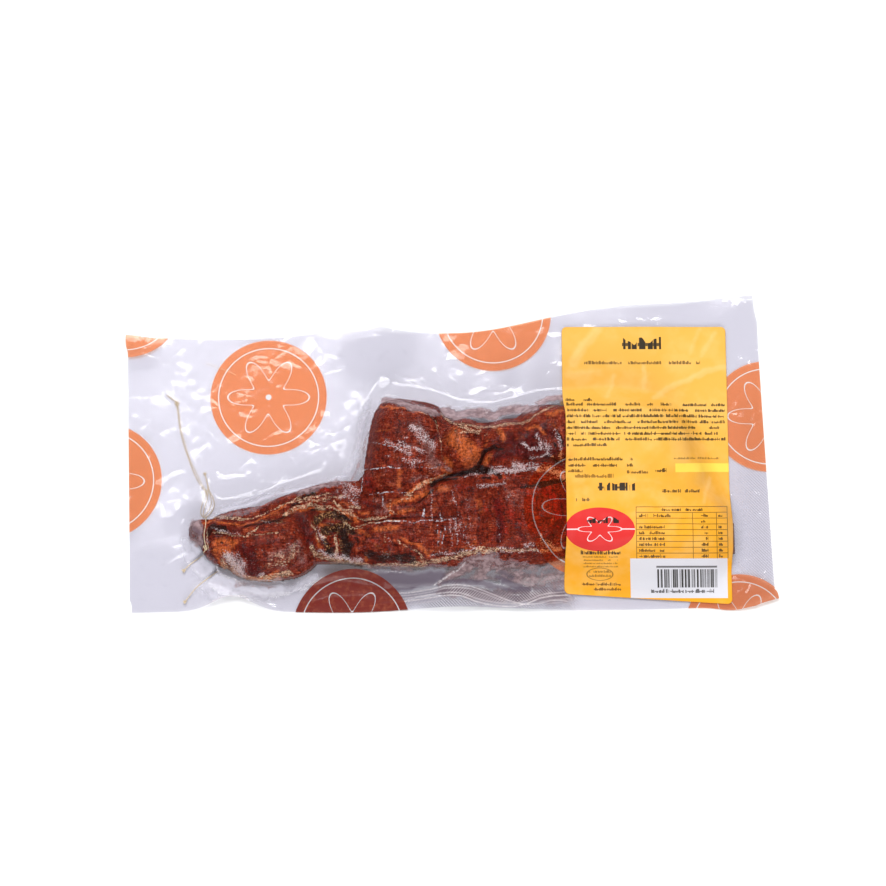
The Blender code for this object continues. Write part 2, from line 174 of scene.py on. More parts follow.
# Colours painted on the meat, layer by layer: points of a stroke, its half width, its strength
PAINT = {
    "amber": [
        ([(-36.1, 20.1), (-29.7, 17.5), (-21.7, 17), (-15.1, 14.6)], 1.1, 1),
        ([(-37.8, 6.3), (-30.1, 4.7)], 0.6, 0.7), ([(-26, -16), (-26, -23)], 2, 0.75),
        ([(-21.5, -25.6), (-13.5, -21.6), (-7, -17.9), (0, -14.7)], 1.2, 1),
        ([(-29, -31), (-23, -30), (-13, -27)], 1.8, 0.9), ([(-26, -36), (-19, -35)], 1.5, 0.8),
        ([(-32, -32), (-30, -36)], 1.3, 0.9), ([(-6, -24), (-2, -24)], 2.5, 0.8),
        ([(-9, -32), (-8, -35)], 2, 0.5), ([(3, 2), (8, -2), (12, -6)], 4.1, 1),
        ([(-3, -9), (0, -12)], 2, 0.9), ([(1, 7), (5, 5)], 2, 0.8), ([(24, 5), (26, 2), (26, 0)], 2, 0.95),
        ([(17, -3), (19, 0)], 1.5, 0.6), ([(17, -11), (19, -8)], 1.8, 0.9),
        ([(38.1, 6.2), (41.6, 7.7), (45.1, 6.4), (47, 2.8)], 1.1, 0.95),
        ([(48, 14), (51, 14), (55, 16)], 1.8, 1), ([(51, 8), (53, 5)], 1.5, 0.6),
        ([(20, -17), (26, -18)], 1.5, 0.6), ([(-37, -44), (-32, -44), (-27, -44)], 1.8, 1),
        ([(-49, -36), (-47, -39)], 1.8, 1), ([(-46, -45), (-41, -47)], 2, 0.7),
        ([(-24, -49), (-20, -51), (-15, -54), (-11, -57)], 1.3, 0.9),
        ([(-42.5, -56.2), (-42.1, -58.2)], 1, 1), ([(-46, -34), (-41, -35)], 1.3, 0.8),
        ([(-10, -55), (-5, -56)], 2, 0.5), ([(-5, -34), (0, -30)], 2.5, 0.35),
        ([(14, -30), (15, -36)], 2.5, 0.6), ([(5, -55), (12, -52)], 1.5, 0.6),
        ([(-125.4, -39), (-120.6, -37.5), (-112.8, -40.1), (-106.1, -40.8), (-99.8, -40.4),
          (-94.6, -36.9), (-88.8, -34), (-83.2, -31.1)], 0.8, 1),
        ([(-118, -50), (-114, -49), (-109, -51)], 2.5, 1), ([(-118, -54), (-112, -54)], 2.5, 1),
        ([(-95, -37), (-87, -35)], 1.8, 0.6), ([(-103, -44), (-100, -44)], 1.5, 0.6),
        ([(-83, -41), (-83, -45)], 1.5, 0.5), ([(-65, -41), (-61, -43)], 1.5, 0.9),
        ([(-67, -49), (-66, -53)], 1.3, 0.8), ([(-56, -33), (-52, -36), (-50, -39)], 1.3, 0.9),
        ([(-103.4, -66.7), (-96.2, -67.5), (-90, -66.2), (-85.7, -64.3)], 1, 0.8),
        ([(-76, -29), (-68, -29)], 1.3, 0.5), ([(-55, -30), (-50, -29)], 1.5, 0.7),
        ([(2, 1), (6, -3), (10, -8)], 5.6, 1.15), ([(-32, -32), (-23, -29), (-13, -26)], 2.5, 0.7),
        ([(-38, -44), (-28, -46)], 2, 0.6), ([(-90, -60), (-80, -58), (-73, -53)], 3.1, 0.35),
        ([(-104.5, -66.4), (-95.6, -67.7), (-86.1, -67)], 1, 1), ([(32, 0), (36, 2)], 1.5, 0.5),
        ([(-24, -53), (-13, -55), (-3, -54)], 2.5, 0.4),
        ([(-118, -56), (-114, -62), (-107, -66)], 1.5, 0.8), ([(-11, -12), (-3, -14)], 1.5, 0.7),
        ([(-38, -52), (-33, -56)], 1.5, 0.5),
        ([(-84.1, -36.3), (-78.1, -33.2), (-70, -32.2), (-61.7, -35)], 1.2, 0.9),
    ],
    "red": [
        ([(-43, -17), (-40, -22)], 3.6, 0.9), ([(-43, -28), (-40, -29)], 2, 0.6),
        ([(-41, 21), (-35, 16)], 2, 0.5), ([(-40, -10), (-32, -7)], 4.1, 0.5),
        ([(-25, -9), (-19, -8)], 3.1, 0.45), ([(3, -7), (7, -9)], 2, 0.8), ([(-4, 10), (-2, 1)], 2, 0.5),
        ([(21, -17), (26, -18)], 2, 1), ([(29, -18), (36, -18)], 1.5, 0.6),
        ([(24, -11), (34, -6)], 3.6, 0.5), ([(28.6, 5.6), (33.6, 5.6)], 1, 0.6),
        ([(45.1, -10.6), (49.2, -11.9)], 1, 0.8), ([(48, -14), (55, -13)], 1.5, 0.5),
        ([(48, -26), (52, -31), (52, -38)], 4.1, 1), ([(24, -36), (27, -46)], 3.1, 0.7),
        ([(29, -53), (35, -50)], 2.5, 0.6), ([(44, -47), (53, -44)], 2.5, 0.7),
        ([(3, -23), (8, -23)], 2, 0.7), ([(17, -34), (20, -38)], 2.5, 0.7),
        ([(19, -50), (22, -45)], 2, 0.6), ([(34, -23), (40, -31), (38, -38)], 3.6, 0.6),
        ([(-40, -49), (-35, -50)], 2, 0.6), ([(-12, -58), (-2, -56)], 2, 0.5),
        ([(-23, -33), (-18, -32)], 2, 0.5), ([(-117, -51), (-111, -53)], 3.1, 0.5),
        ([(-100, -47), (-94, -45)], 1.5, 0.5), ([(-63, -23), (-61, -26)], 2, 0.9),
        ([(-76, -60), (-71, -59)], 2.5, 0.7), ([(-94, -59), (-90, -59)], 1.5, 0.5),
        ([(24, -33), (34, -41), (47, -46)], 5.1, 0.7), ([(-105, -52), (-94, -50)], 2, 0.5),
    ],
    "maroon": [
        ([(23, -8), (31, -6), (38, -7)], 4.1, 1), ([(35, 3), (41, 1), (39, -2)], 2.5, 0.9),
        ([(49, 4), (53, 1)], 2.5, 0.9), ([(-38, 6), (-30, 2)], 2, 0.7), ([(-28, 8), (-18, 10)], 1.8, 0.7),
        ([(-29, -11), (-19, -13)], 1.5, 0.5), ([(-44, -29), (-36, -33)], 2.5, 0.8),
        ([(-100, -54), (-100, -59), (-100, -64)], 3.1, 1), ([(-97, -52), (-87, -50)], 2.5, 0.7),
        ([(-76, -36), (-73, -44), (-71, -51)], 4.6, 0.85), ([(-70, -33), (-62, -34)], 2, 0.9),
        ([(-59, -36), (-53, -38)], 2, 0.8), ([(-112, -43), (-105, -44)], 2, 0.7),
        ([(3, -48), (6, -50)], 2.5, 0.7), ([(26, -41), (29, -51)], 3.1, 0.5),
        ([(-38, -53), (-29, -53)], 2, 0.6), ([(-29.5, -38.5), (-13, -38.1), (-4, -37.9)], 0.6, 0.9),
        ([(23, -28), (24, -38)], 1.5, 0.4), ([(-13, 0), (-8, -7)], 3.1, 0.5),
        ([(27, 0), (37, -3), (47, -6), (55, -10)], 5.6, 1),
        ([(-104, -54), (-99, -60), (-97, -65)], 3.6, 0.9), ([(-76, -38), (-61, -34)], 2.5, 0.7),
        ([(-38, -14), (-25, -17)], 2, 0.5), ([(27, -31), (32, -46)], 4.1, 0.5),
        ([(23, -31), (25, -41), (24, -50)], 2.5, 1.1),
        ([(47, -26), (54, -30), (54, -41), (49, -50)], 3.1, 1), ([(32, -43), (37, -50)], 2, 0.8),
        ([(15, -24), (14, -50)], 2, 0.6), ([(24, -8), (34, -5), (47, 7)], 2.5, 1),
    ],
    # The dark layer: dark juice, and painted shade along the meat's crevices
    "dark": [
        ([(-120, -41), (-117, -43)], 2, 1), ([(-120.6, -46.1), (-121.1, -51.1)], 1, 0.7),
        ([(-115.9, -50.2), (-114.9, -50.3)], 0.8, 0.9),
        ([(-10, -21), (-5, -19), (1, -16), (6, -15), (13, -14), (19, -15)], 1.6, 1),
        ([(14.1, -12.1), (14.6, -8.8), (17.1, -5.6), (21, -4.6), (25.5, -4.5)], 1.1, 1),
        ([(-4, -20), (2.5, -19)], 1, 0.9), ([(-16.5, -31.3), (-13, -27.9), (-9.5, -23.6)], 0.8, 0.8),
        ([(-44.7, -39.6), (-35.5, -39.5), (-29.5, -38.9), (-23, -38.6)], 0.5, 0.8),
        ([(-54, -47), (-51, -52), (-52, -56)], 3.1, 1), ([(-50, -43), (-48, -46)], 1.5, 0.8),
        ([(-41, -56), (-36, -59), (-28, -59), (-19, -60)], 2, 0.8), ([(-46, -51), (-48, -49)], 1.5, 0.7),
        ([(38.5, -10.5), (47.6, -10.1)], 0.6, 0.8), ([(52, -3), (55, -10)], 1.3, 0.7),
        ([(16.1, -18), (19.6, -18.5)], 0.8, 0.9), ([(4.9, -54.6), (6.4, -54.7)], 1, 0.8),
        ([(-80, -31), (-77, -30)], 1.3, 0.9), ([(-74.2, -26.5), (-70.2, -23.8)], 1, 0.8),
        ([(-81.4, -49.1), (-78.4, -51.1)], 1, 0.5), ([(-134, -38), (-128, -42)], 2.5, 0.6),
        ([(-62, -55), (-58, -53)], 1.3, 0.9), ([(-7.5, 12.1), (-7, 9.5)], 0.6, 0.7),
        ([(-43, -56), (-33, -58), (-20, -58)], 1.8, 0.9),
        ([(-76.1, -35.7), (-66, -32.3), (-55.7, -34.9), (-49.7, -39.9)], 1.3, 0.7),
        ([(34.3, -24.1), (44.3, -22.5), (54.7, -18.8)], 0.9, 1), ([(-121, -45), (-114, -46)], 1.5, 0.7),
        ([(-103.3, -42), (-94.6, -41.3), (-83.6, -36.9)], 1.3, 0.8),
        ([(-10.6, 13.9), (-7.5, 10.4)], 1, 0.8), ([(-122, -45), (-120, -41), (-114, -43)], 1.8, 1.4),
        ([(44.3, -23.6), (50.4, -21.7), (57.7, -18.2)], 1, 1.6),
        ([(-3, -18), (9.6, -14.2), (14.6, -11.7), (24.5, -18)], 1, 1.3),
        ([(13.6, -10.7), (16.6, -6), (21.5, -3.5)], 1, 1.3), ([(-132.1, -37.6), (-128.9, -37.5)], 1, 1),
        ([(-125.2, -47.8), (-121.6, -52.4)], 0.8, 0.8), ([(13.6, -18.9), (14.4, -52.7)], 0.6, 0.45),
        ([(24.3, -54.2), (39.3, -53.5)], 0.7, 0.5),
        ([(27, -20.1), (24.4, -30.6), (25.8, -45.7)], 0.8, 0.55), ([(44.6, -7.4), (54.7, -10.5)], 1, 0.8),
        ([(53, 4), (56, -3)], 1.5, 0.8),
    ],
    "char": [
        ([(-67, -39), (-61, -36), (-53, -39)], 3.1, 1), ([(-62, -44), (-55, -43), (-50, -44)], 3.6, 1),
        ([(-63, -50), (-60, -55)], 2.5, 0.9), ([(-54, -47), (-52, -55)], 3.6, 0.9),
        ([(-98, -39), (-90, -39), (-83, -40)], 2, 0.6), ([(-78, -28), (-70, -24)], 1.8, 0.7),
        ([(-36, -57), (-27, -58), (-18, -59)], 2.3, 0.6),
    ],
    "fat": [
        ([(-15.1, 14.6), (-10.1, 13.4), (-7.5, 10.4), (-6, 5.3), (-5, -0.9), (-4.5, -7),
          (-3, -10.8)], 0.6, 0.7), ([(-5, 17), (0, 12), (5, 8), (10, 5), (14, 4)], 1.3, 0.9),
        ([(6, 9), (15, 8), (21, 8)], 1.5, 0.9), ([(19.6, 4.9), (16.6, 2)], 0.5, 0.6),
        ([(21, 7), (25, 8), (31, 9), (36, 9)], 1.3, 0.9),
        ([(35.8, 9.6), (39.8, 11.3), (43.8, 13.9), (49, 17.7), (56.9, 24.5)], 0.8, 0.9),
        ([(-19.5, -27.2), (-18, -23.8), (-13.5, -21.1), (-8.5, -18), (-2, -15.6)], 0.6, 0.8),
        ([(-31.1, -29.1), (-30.5, -33.5), (-27.5, -36.8)], 0.8, 0.7),
        ([(-22, -24.5), (-20, -28.6), (-25, -29.7)], 0.6, 0.7),
        ([(-55.7, -34.9), (-50.8, -35.6), (-46.8, -37.3), (-40.7, -38.6), (-34.5, -38.4),
          (-30.5, -37.2)], 0.8, 1), ([(-50.1, -30.9), (-46, -31.6)], 1, 1),
        ([(-58.6, -29.2), (-54.8, -33), (-50.4, -33.6)], 1, 1),
        ([(-46.7, -42.1), (-42.7, -40.7), (-38.1, -40.6), (-31.5, -40.3), (-25.5, -40)], 0.6, 0.9),
        ([(-26.4, -49.6), (-25.4, -52.1), (-20.4, -54.1), (-16.4, -56.4), (-13, -59.7)], 0.8, 0.8),
        ([(-33.4, -45.9), (-32.4, -51)], 0.7, 0.6),
        ([(-45.9, -59.7), (-38.7, -60.7), (-28.1, -61.2), (-17.6, -61.5)], 0.7, 0.9),
        ([(-17, -61), (-12, -60)], 1.5, 1), ([(-12, -60), (-7, -59.7), (-0.5, -58.5), (4.5, -57.7)], 1, 1),
        ([(4, -57), (9, -56), (15, -56), (22, -55)], 1.5, 1),
        ([(22.4, -55.1), (31.8, -54.9), (44.4, -54.7), (55.7, -54.2)], 0.8, 1),
        ([(-119.6, -45.1), (-115.1, -44.6), (-109.9, -46.2), (-102.9, -48), (-99.5, -45.4),
          (-96.5, -42.9)], 0.6, 0.9),
        ([(-99.4, -47.1), (-94.3, -46.9), (-91.4, -46.4), (-86.9, -46.1)], 0.5, 1),
        ([(-80.1, -34.2), (-76.1, -31.7), (-68.6, -30.4), (-60.9, -31.9), (-54.7, -34.9)], 0.7, 1),
        ([(-84, -36), (-81, -34)], 1.3, 1),
        ([(-80.2, -29.6), (-73.1, -28.6), (-66, -28.6), (-60.6, -27.9)], 0.9, 0.7),
        ([(-83.7, -32.2), (-80.2, -28.6), (-74.8, -24.8), (-70.4, -21.9)], 0.6, 0.6),
        ([(-69.8, -40.8), (-67.7, -44), (-66.6, -49.7)], 0.8, 0.9),
        ([(-65.5, -46.5), (-62, -48.4)], 0.6, 0.9),
        ([(-69.7, -52.2), (-67.9, -56.3), (-62.9, -57.2), (-53.3, -57.9), (-46.8, -59.5)], 1.2, 1),
        ([(-57.5, -46.9), (-56.5, -53.2), (-57.8, -56.9)], 1, 0.9),
        ([(-115.5, -60.7), (-113.2, -63.3), (-108.6, -65.8)], 0.8, 0.9),
        ([(-107.1, -65.3), (-98.6, -66.8), (-92.9, -65.9)], 0.8, 0.8),
        ([(-123.1, -42.4), (-122.7, -48.4), (-121.7, -53.3)], 0.5, 0.9),
        ([(-90, -59), (-83, -58), (-77, -53)], 3.1, 0.5),
        ([(-115.2, -58.2), (-111, -62.7), (-104.9, -66.2), (-97.3, -67.7), (-88.5, -67.1),
          (-81.7, -64.2)], 0.8, 0.9), ([(-91, -62), (-83, -60), (-76, -55)], 2.5, 0.55),
        ([(-125.9, -36.4), (-119.8, -35.4), (-109, -37.5), (-100.2, -37.3), (-92.4, -33.4),
          (-81.2, -29.6), (-71.2, -26.5), (-61.1, -24.9)], 0.8, 0.9),
        ([(2, 4.4), (9.5, 3.7), (15.6, 5.6)], 1, 0.7),
        ([(-23, -27.1), (-15.5, -23.3), (-9.5, -19.4)], 0.8, 0.8),
        ([(-67.1, -28.1), (-61.1, -26.5), (-53.6, -26.4)], 1.3, 0.7),
        ([(-115, -59), (-112, -63), (-106, -67), (-98, -68), (-89, -67), (-81, -65)], 1.3, 1),
        ([(-18, -60), (-5.5, -59.2), (4.5, -57.7)], 0.8, 0.7),
        ([(-113, -57), (-108, -62), (-106, -65)], 2.5, 0.75),
        ([(13.4, -54.2), (34.4, -55.3), (54.7, -53.8)], 0.8, 0.8),
        ([(-124.4, -36.4), (-115.9, -35.4), (-106.4, -37.5)], 1.2, 1),
        ([(-82.6, -34.7), (-77.1, -31.7), (-70.1, -30.7), (-62.9, -32.5)], 1.1, 1),
        ([(-55.5, -39.4), (-49.6, -43.1), (-44.6, -43.1)], 0.8, 0.8),
    ],
    "frost": [
        ([(-112, -58), (-108, -59), (-104, -62)], 2.5, 1), ([(-110, -64), (-105, -65)], 2, 0.9),
        ([(-56, -18), (-51, -21), (-48, -24)], 3.1, 0.9), ([(-52, -14), (-48, -15)], 2, 0.8),
        ([(-58.1, -22.7), (-57.1, -26.7), (-54.6, -27), (-52.1, -24.4)], 0.7, 1),
        ([(-50, -27), (-47, -24)], 1.5, 0.6), ([(-20, 7), (-16, 6)], 1.5, 0.9),
        ([(-16, 2), (-10, 0)], 2, 0.8), ([(-26, -2), (-21, -4)], 1.8, 1),
        ([(-23.5, 0.5), (-21, 1.6)], 0.8, 0.9), ([(-18, -4), (-15, -6)], 1.3, 0.9),
        ([(-24, -10), (-19, -12), (-16, -10)], 1.8, 0.8), ([(-28.5, -5.6), (-26.5, -4.6)], 1, 0.8),
        ([(-32.5, -7.4), (-31, -7.5)], 0.8, 1), ([(36.5, -1.8), (39, -4.8), (43, -4.2)], 1.1, 1),
        ([(43, 3), (44, -1), (45, -4)], 1.3, 1), ([(47, -1), (49, -5)], 1.8, 0.8),
        ([(39.5, -9.2), (44.6, -8.3), (48, -6.9), (50.6, -8.7)], 0.8, 1),
        ([(19.6, -14.1), (24.5, -14), (29, -15.2), (31, -15.7)], 0.7, 1),
        ([(31, -15), (35, -13), (40, -12), (44, -13)], 2, 0.95),
        ([(45, -13), (49, -15), (53, -17), (57, -16)], 2, 0.8), ([(50, -19), (55, -18)], 1.3, 0.7),
        ([(6, -18), (9.6, -15.8), (13.6, -15.5)], 1.1, 0.9),
        ([(14.6, -22.6), (20.5, -22.3), (26.4, -21.8)], 1.1, 0.9),
        ([(22.8, -40.6), (24.3, -45.2), (24.3, -50.9)], 0.6, 0.5), ([(37, -53), (44, -53)], 1.5, 0.8),
        ([(45, -49), (46, -54)], 1.3, 0.9), ([(48, -52), (54, -54)], 2, 0.9),
        ([(22.8, -54.2), (31.3, -54.1)], 0.8, 0.8), ([(5, -46), (9, -53), (13, -55)], 1.5, 0.6),
        ([(8, -29.6), (9.9, -43.2)], 1, 0.4), ([(-31.4, -48.5), (-29.4, -52.5)], 1, 0.5),
        ([(-35, -56), (-30, -58), (-26, -59)], 2, 0.4), ([(-97.4, -65.9), (-94.2, -65.2)], 1, 0.9),
        ([(-93.8, -39.4), (-85.1, -41.8)], 1, 0.6), ([(-134.6, -37.6), (-131.1, -36.1)], 1, 0.8),
        ([(-59.3, -19.1), (-63.3, -20.4)], 1, 0.6), ([(16.6, -13.8), (13.6, -15.5)], 1, 0.6),
        ([(-112, -57), (-108, -61), (-105, -65)], 2.8, 1.25),
        ([(20, -16), (29, -16), (40, -14), (48, -14), (56, -18)], 1.6, 1.2),
        ([(13.6, -22), (24.5, -22.2)], 1, 0.9), ([(-54, -23), (-51, -26), (-48, -30)], 2, 0.8),
        ([(-66.7, -54.2), (-61.7, -56.5), (-53.3, -56.8), (-44.7, -58.8)], 1.3, 1),
        ([(-67, -44), (-64, -49)], 1.5, 0.8), ([(-32.6, -0.2), (-27.5, -3.5), (-20.5, -7.7)], 1.3, 0.9),
        ([(-18, 6), (-13, 2), (-9, -2)], 2, 0.8), ([(-0.5, -39.8), (0.5, -52.7)], 0.8, 0.6),
        ([(-9.5, -57.3), (2, -56.4), (11.9, -54.2)], 1, 0.8),
        ([(24.4, -55.9), (39.4, -55.2), (54.7, -54.7)], 1, 0.8),
        ([(-120.4, -42.1), (-113.5, -44.2), (-105.7, -46.1)], 0.8, 0.8),
        ([(32, -13), (40, -13), (49, -14), (56, -17)], 2.2, 1.05),
        ([(0.5, -24.7), (3.5, -34.8), (5.4, -50.2)], 0.6, 0.7), ([(2, -38.7), (3, -52.7)], 0.5, 0.75),
        ([(52, 5), (55, -3), (55, -9)], 1.5, 0.75), ([(-10.5, -24.8), (-9.5, -39.5)], 0.5, 0.8),
        ([(-107, -57), (-110, -61), (-105, -64)], 2, 0.9),
    ],
    "grey": [
        ([(-17, 7), (-12, 0), (-10, -9), (-7, -12)], 4.6, 0.9), ([(-18, -19), (-12, -18)], 2, 0.8),
        ([(-34, -31), (-32, -35), (-37, -36)], 2, 0.8), ([(-133, -39), (-128, -44)], 3.6, 1),
        ([(-90, -58), (-83, -56), (-77, -52), (-75, -59)], 4.1, 0.8), ([(-88, -62), (-83, -63)], 2.5, 0.7),
        ([(-3, -13), (0, -14)], 1.5, 0.9), ([(2, 2), (4, -2)], 2, 0.6),
        ([(-39, -28), (-35, -30)], 1.8, 0.6), ([(47, -5), (51, -4)], 2.5, 0.6),
        ([(54, 0), (55, -8)], 1.5, 0.7), ([(-34, 16), (-24, 14)], 2.5, 0.4),
        ([(27, -26), (34, -33), (39, -43)], 4.1, 0.5), ([(44, -31), (52, -38)], 3.1, 0.35),
        ([(-1, -25), (2, -40), (4, -50)], 3.1, 0.45),
    ],
}

# Ice and juice between the films beside the meat: points, half width, strength
HAZE = [
    ([(-33, 25), (-26, 22), (-20, 18), (-14, 17), (-9, 16)], 2.5, 1.4),
    ([(-2, 19), (3, 16), (9, 18), (16, 19), (22, 16), (28, 20), (35, 20), (41, 19)], 3.6, 1.3),
    ([(45, 23), (51, 26), (57, 27)], 2.4, 1.3), ([(-42, 7), (-45, -4), (-48, -12), (-50, -17)], 1.5, 0.6),
    ([(-112, -35), (-102, -33), (-93, -27), (-85, -21)], 3.1, 0.45), ([(-120, -34), (-115, -36)], 2, 0.5),
    ([(-76, -23), (-65, -20), (-58, -18)], 2.5, 0.8), ([(-130, -39), (-127, -43)], 3.3, 1.25),
    ([(-127, -46), (-124, -50)], 2.3, 0.95), ([(-132, -46), (-127, -50), (-122, -53)], 2.5, 0.55),
    ([(-43.3, -61), (-33.2, -62.6), (-23.1, -63.2), (-13, -62.5), (-3, -61.7)], 1.1, 0.6),
    ([(-6, -70), (0, -66), (5, -63), (8, -60)], 2, 0.7), ([(14, -65), (16, -61), (18, -58)], 2.5, 0.7),
    ([(23, -64), (24, -60), (22, -58)], 2, 0.65), ([(9, -65), (15, -65), (21, -65), (25, -67)], 2, 0.6),
    ([(35, -68), (40, -70), (48, -69), (56, -67)], 2.8, 0.75),
    ([(27, -66), (31, -67), (36, -70)], 1.8, 0.85), ([(49, -71), (55, -70)], 2, 0.6),
    ([(-109, -70), (-101, -69), (-95, -70), (-89, -71)], 2, 0.5), ([(-2, -67), (4, -64), (9, -62)], 3.1, 1),
    ([(14, -65), (18, -62), (19, -59)], 3.6, 0.95), ([(10, -60), (14, -59)], 2.5, 0.8),
    ([(2, -68), (15, -66), (25, -67)], 1.5, 0.7), ([(40, -66), (50, -65), (58, -64)], 2.5, 0.6),
    ([(26, -64), (35, -66), (45, -67), (56, -66)], 4.1, 0.85), ([(22, -60), (35, -62), (56, -62)], 2, 0.7),
    # The next stroke is partly painted shade: it darkens the band along the front seam
    ([(-3, -73), (15, -74), (35, -75), (56, -75)], 4.6, 0.72),
    ([(-116, -69), (-105, -71), (-95, -70), (-86, -68)], 1.5, 0.4),
]

# Painted shade in the hollow film in front of the meat: points, half width, strength
SHADE = [
    ([(-41, -68), (-33, -68), (-26, -68), (-18, -68), (-11, -67), (-5, -66)], 3.6, 1),
    ([(-39, -71), (-31, -71), (-23, -71), (-16, -70)], 2.3, 0.95),
    ([(-4.5, -69.5), (2.1, -68.4), (9.6, -67.9), (17.2, -68.9), (24.9, -70.7), (31, -72.6),
      (38, -72.7)], 1.1, 1), ([(23, -66), (29, -68), (33, -70), (39, -72)], 1.3, 0.9),
    ([(-44, -76), (-26, -76), (-6, -73), (10, -73), (25, -77), (40, -76), (58, -76)], 5.6, 0.68),
    ([(-33, -80), (-6, -78), (10, -80), (35, -81)], 1.5, 0.35),
    ([(-116, -79), (-109, -77), (-103, -79)], 1.8, 0.85),
    ([(47.7, -73.7), (55.3, -73.1), (59.8, -73.1)], 1.3, 0.85), ([(-130, -42), (-127, -44)], 2, 0.6),
    ([(-38, -67), (-28, -67), (-18, -68), (-10, -67)], 4.1, 1.3),
    ([(-43, -73), (-26, -73), (-11, -71)], 2, 0.6), ([(2, -71), (15, -72), (30, -74)], 2, 0.6),
    ([(1, -69), (7, -68), (15, -69), (21, -70)], 1.6, 1.3), ([(27, -68), (32, -70), (39, -72)], 1.8, 1.3),
    ([(43, -72), (56, -73)], 2, 0.9), ([(25, -64), (31, -66)], 1.5, 0.8),
]

# Film that frost makes milky beside the meat, and painted light over its shadow: points, half width, strength
PALE = [
    ([(-132, -55), (-127, -61), (-121, -67), (-113, -72)], 4.6, 1),
    ([(-113, -73), (-104, -74), (-96, -74), (-86, -73)], 3.1, 0.8), ([(-135, -47), (-133, -52)], 2.5, 0.9),
    ([(-124, -70), (-119, -76), (-114, -80)], 4.1, 0.7), ([(-84, -72), (-76, -70), (-69, -66)], 2.5, 0.7),
    ([(147, -16), (149, -34), (149, -52), (146, -62)], 5, 0.45),
    ([(-116, -32), (-102, -28), (-87, -23), (-71, -20)], 2, 0.75), ([(-62, -16), (-51, -14)], 1.5, 0.5),
    ([(-111.6, -28.1), (-96.5, -22.8)], 1, 0.6), ([(-43, 25), (-46, 11), (-48, -3), (-52, -11)], 3.1, 0.6),
    ([(-130, -50), (-126, -57), (-120, -64), (-113, -69), (-104, -72), (-96, -73), (-86, -72)], 2.5, 1.1),
]

# White ice lines on the film, and painted highlights along its creases and ridges: points, half width,
# strength
ICE_AND_GLINT_LINES = [
    ([(-42.1, 1.7), (-35.6, -1.2), (-30, -3)], 0.5, 0.8),
    ([(-44.5, -12.5), (-38.1, -13.4), (-31.5, -13.6), (-25.5, -14.7)], 0.5, 0.9),
    ([(-23.5, -14.2), (-19.5, -14.1), (-10.5, -12.9), (-5.5, -12)], 0.5, 0.7),
    ([(-40.8, -25.1), (-34.2, -25.1), (-28.1, -25.7), (-21.5, -25.1)], 0.5, 0.9),
    ([(-38, -40.8), (-31.5, -40.4), (-24.5, -40.2), (-18, -41), (-13, -39.9), (-5.5, -39.6),
      (2.5, -39.3)], 0.6, 0.8), ([(-7, -42.4), (-6.2, -47.8), (-6, -53.2)], 0.5, 0.8),
    ([(-2.5, -42), (-3.5, -48.8), (-4, -55.6)], 0.5, 0.8), ([(-5, -45.7), (-5, -50.8)], 0.6, 0.7),
    ([(-11.5, -46.7), (-13.4, -53.2)], 0.4, 0.5),
    ([(-34.8, 27.8), (-36.2, 23), (-38.7, 17.9), (-40.4, 12.6), (-41.1, 7.2), (-42.9, 2.4), (-44.1, -4.5),
      (-45.1, -12.4), (-45.5, -18.5), (-45, -23.6)], 0.7, 0.75),
    ([(-34.4, -26.8), (-34.1, -32.3)], 0.5, 0.8), ([(2.5, -22.5), (3.5, -27.7)], 0.9, 0.6),
    ([(5, -35.9), (7.9, -47.7)], 0.5, 0.6), ([(-6, -36.1), (-4.5, -39.1)], 0.6, 0.8),
    ([(-13.5, -34.8), (-14, -38.2)], 0.7, 0.9),
    ([(-125.9, -12.4), (-124.1, -20.8), (-126, -34.3)], 0.5, 0.3),
    ([(-33.2, 28.4), (-26, 26.9), (-19.8, 22), (-16.1, 19.2)], 0.6, 0.9),
    ([(-2.5, 23.6), (1.1, 23.3), (4.7, 20.6)], 0.6, 0.8),
    ([(4.7, 21), (9.9, 23.6), (15.1, 24.2), (19.1, 20.5), (24.3, 23.2), (29.5, 25.1), (44.1, 23.1),
      (50, 27.7), (56.8, 29.9)], 0.5, 0.8), ([(16.1, 23.6), (18.1, 19.2), (19, 15)], 0.7, 0.6),
    ([(-9.1, -70.4), (-3, -67.2), (2.5, -63.7), (7, -60.1)], 0.8, 0.85),
    ([(-5.5, -69.1), (3, -63.3)], 0.6, 0.8), ([(-34.4, -69.2), (-31.8, -68.3)], 0.7, 0.9),
    ([(-39.8, -62.8), (-30.7, -63.9), (-23.2, -64.4)], 0.6, 0.7),
    ([(13.6, -63.3), (14.5, -59.2)], 0.5, 0.7), ([(17.6, -64.6), (21.5, -59.2), (22.9, -57.7)], 0.5, 0.7),
    ([(-124.3, -80.4), (-116.6, -76), (-110.6, -74.5), (-104.1, -75.9), (-100, -78.9)], 0.6, 0.95),
    ([(-106.4, -67.7), (-98.8, -68.8), (-91.1, -68), (-83.7, -69.2)], 0.8, 0.7),
    ([(-118.7, -60.6), (-115.8, -64.9), (-110.6, -67.5), (-104.9, -69.2)], 1, 0.8),
    ([(-121.5, -56), (-116.6, -60.7)], 0.7, 0.7),
    ([(-133.9, -64.4), (-127.1, -70.1), (-122.9, -74.3)], 0.6, 0.6),
    ([(-115.9, -68.7), (-120.8, -73.4), (-126.9, -78.3)], 0.6, 0.6),
]

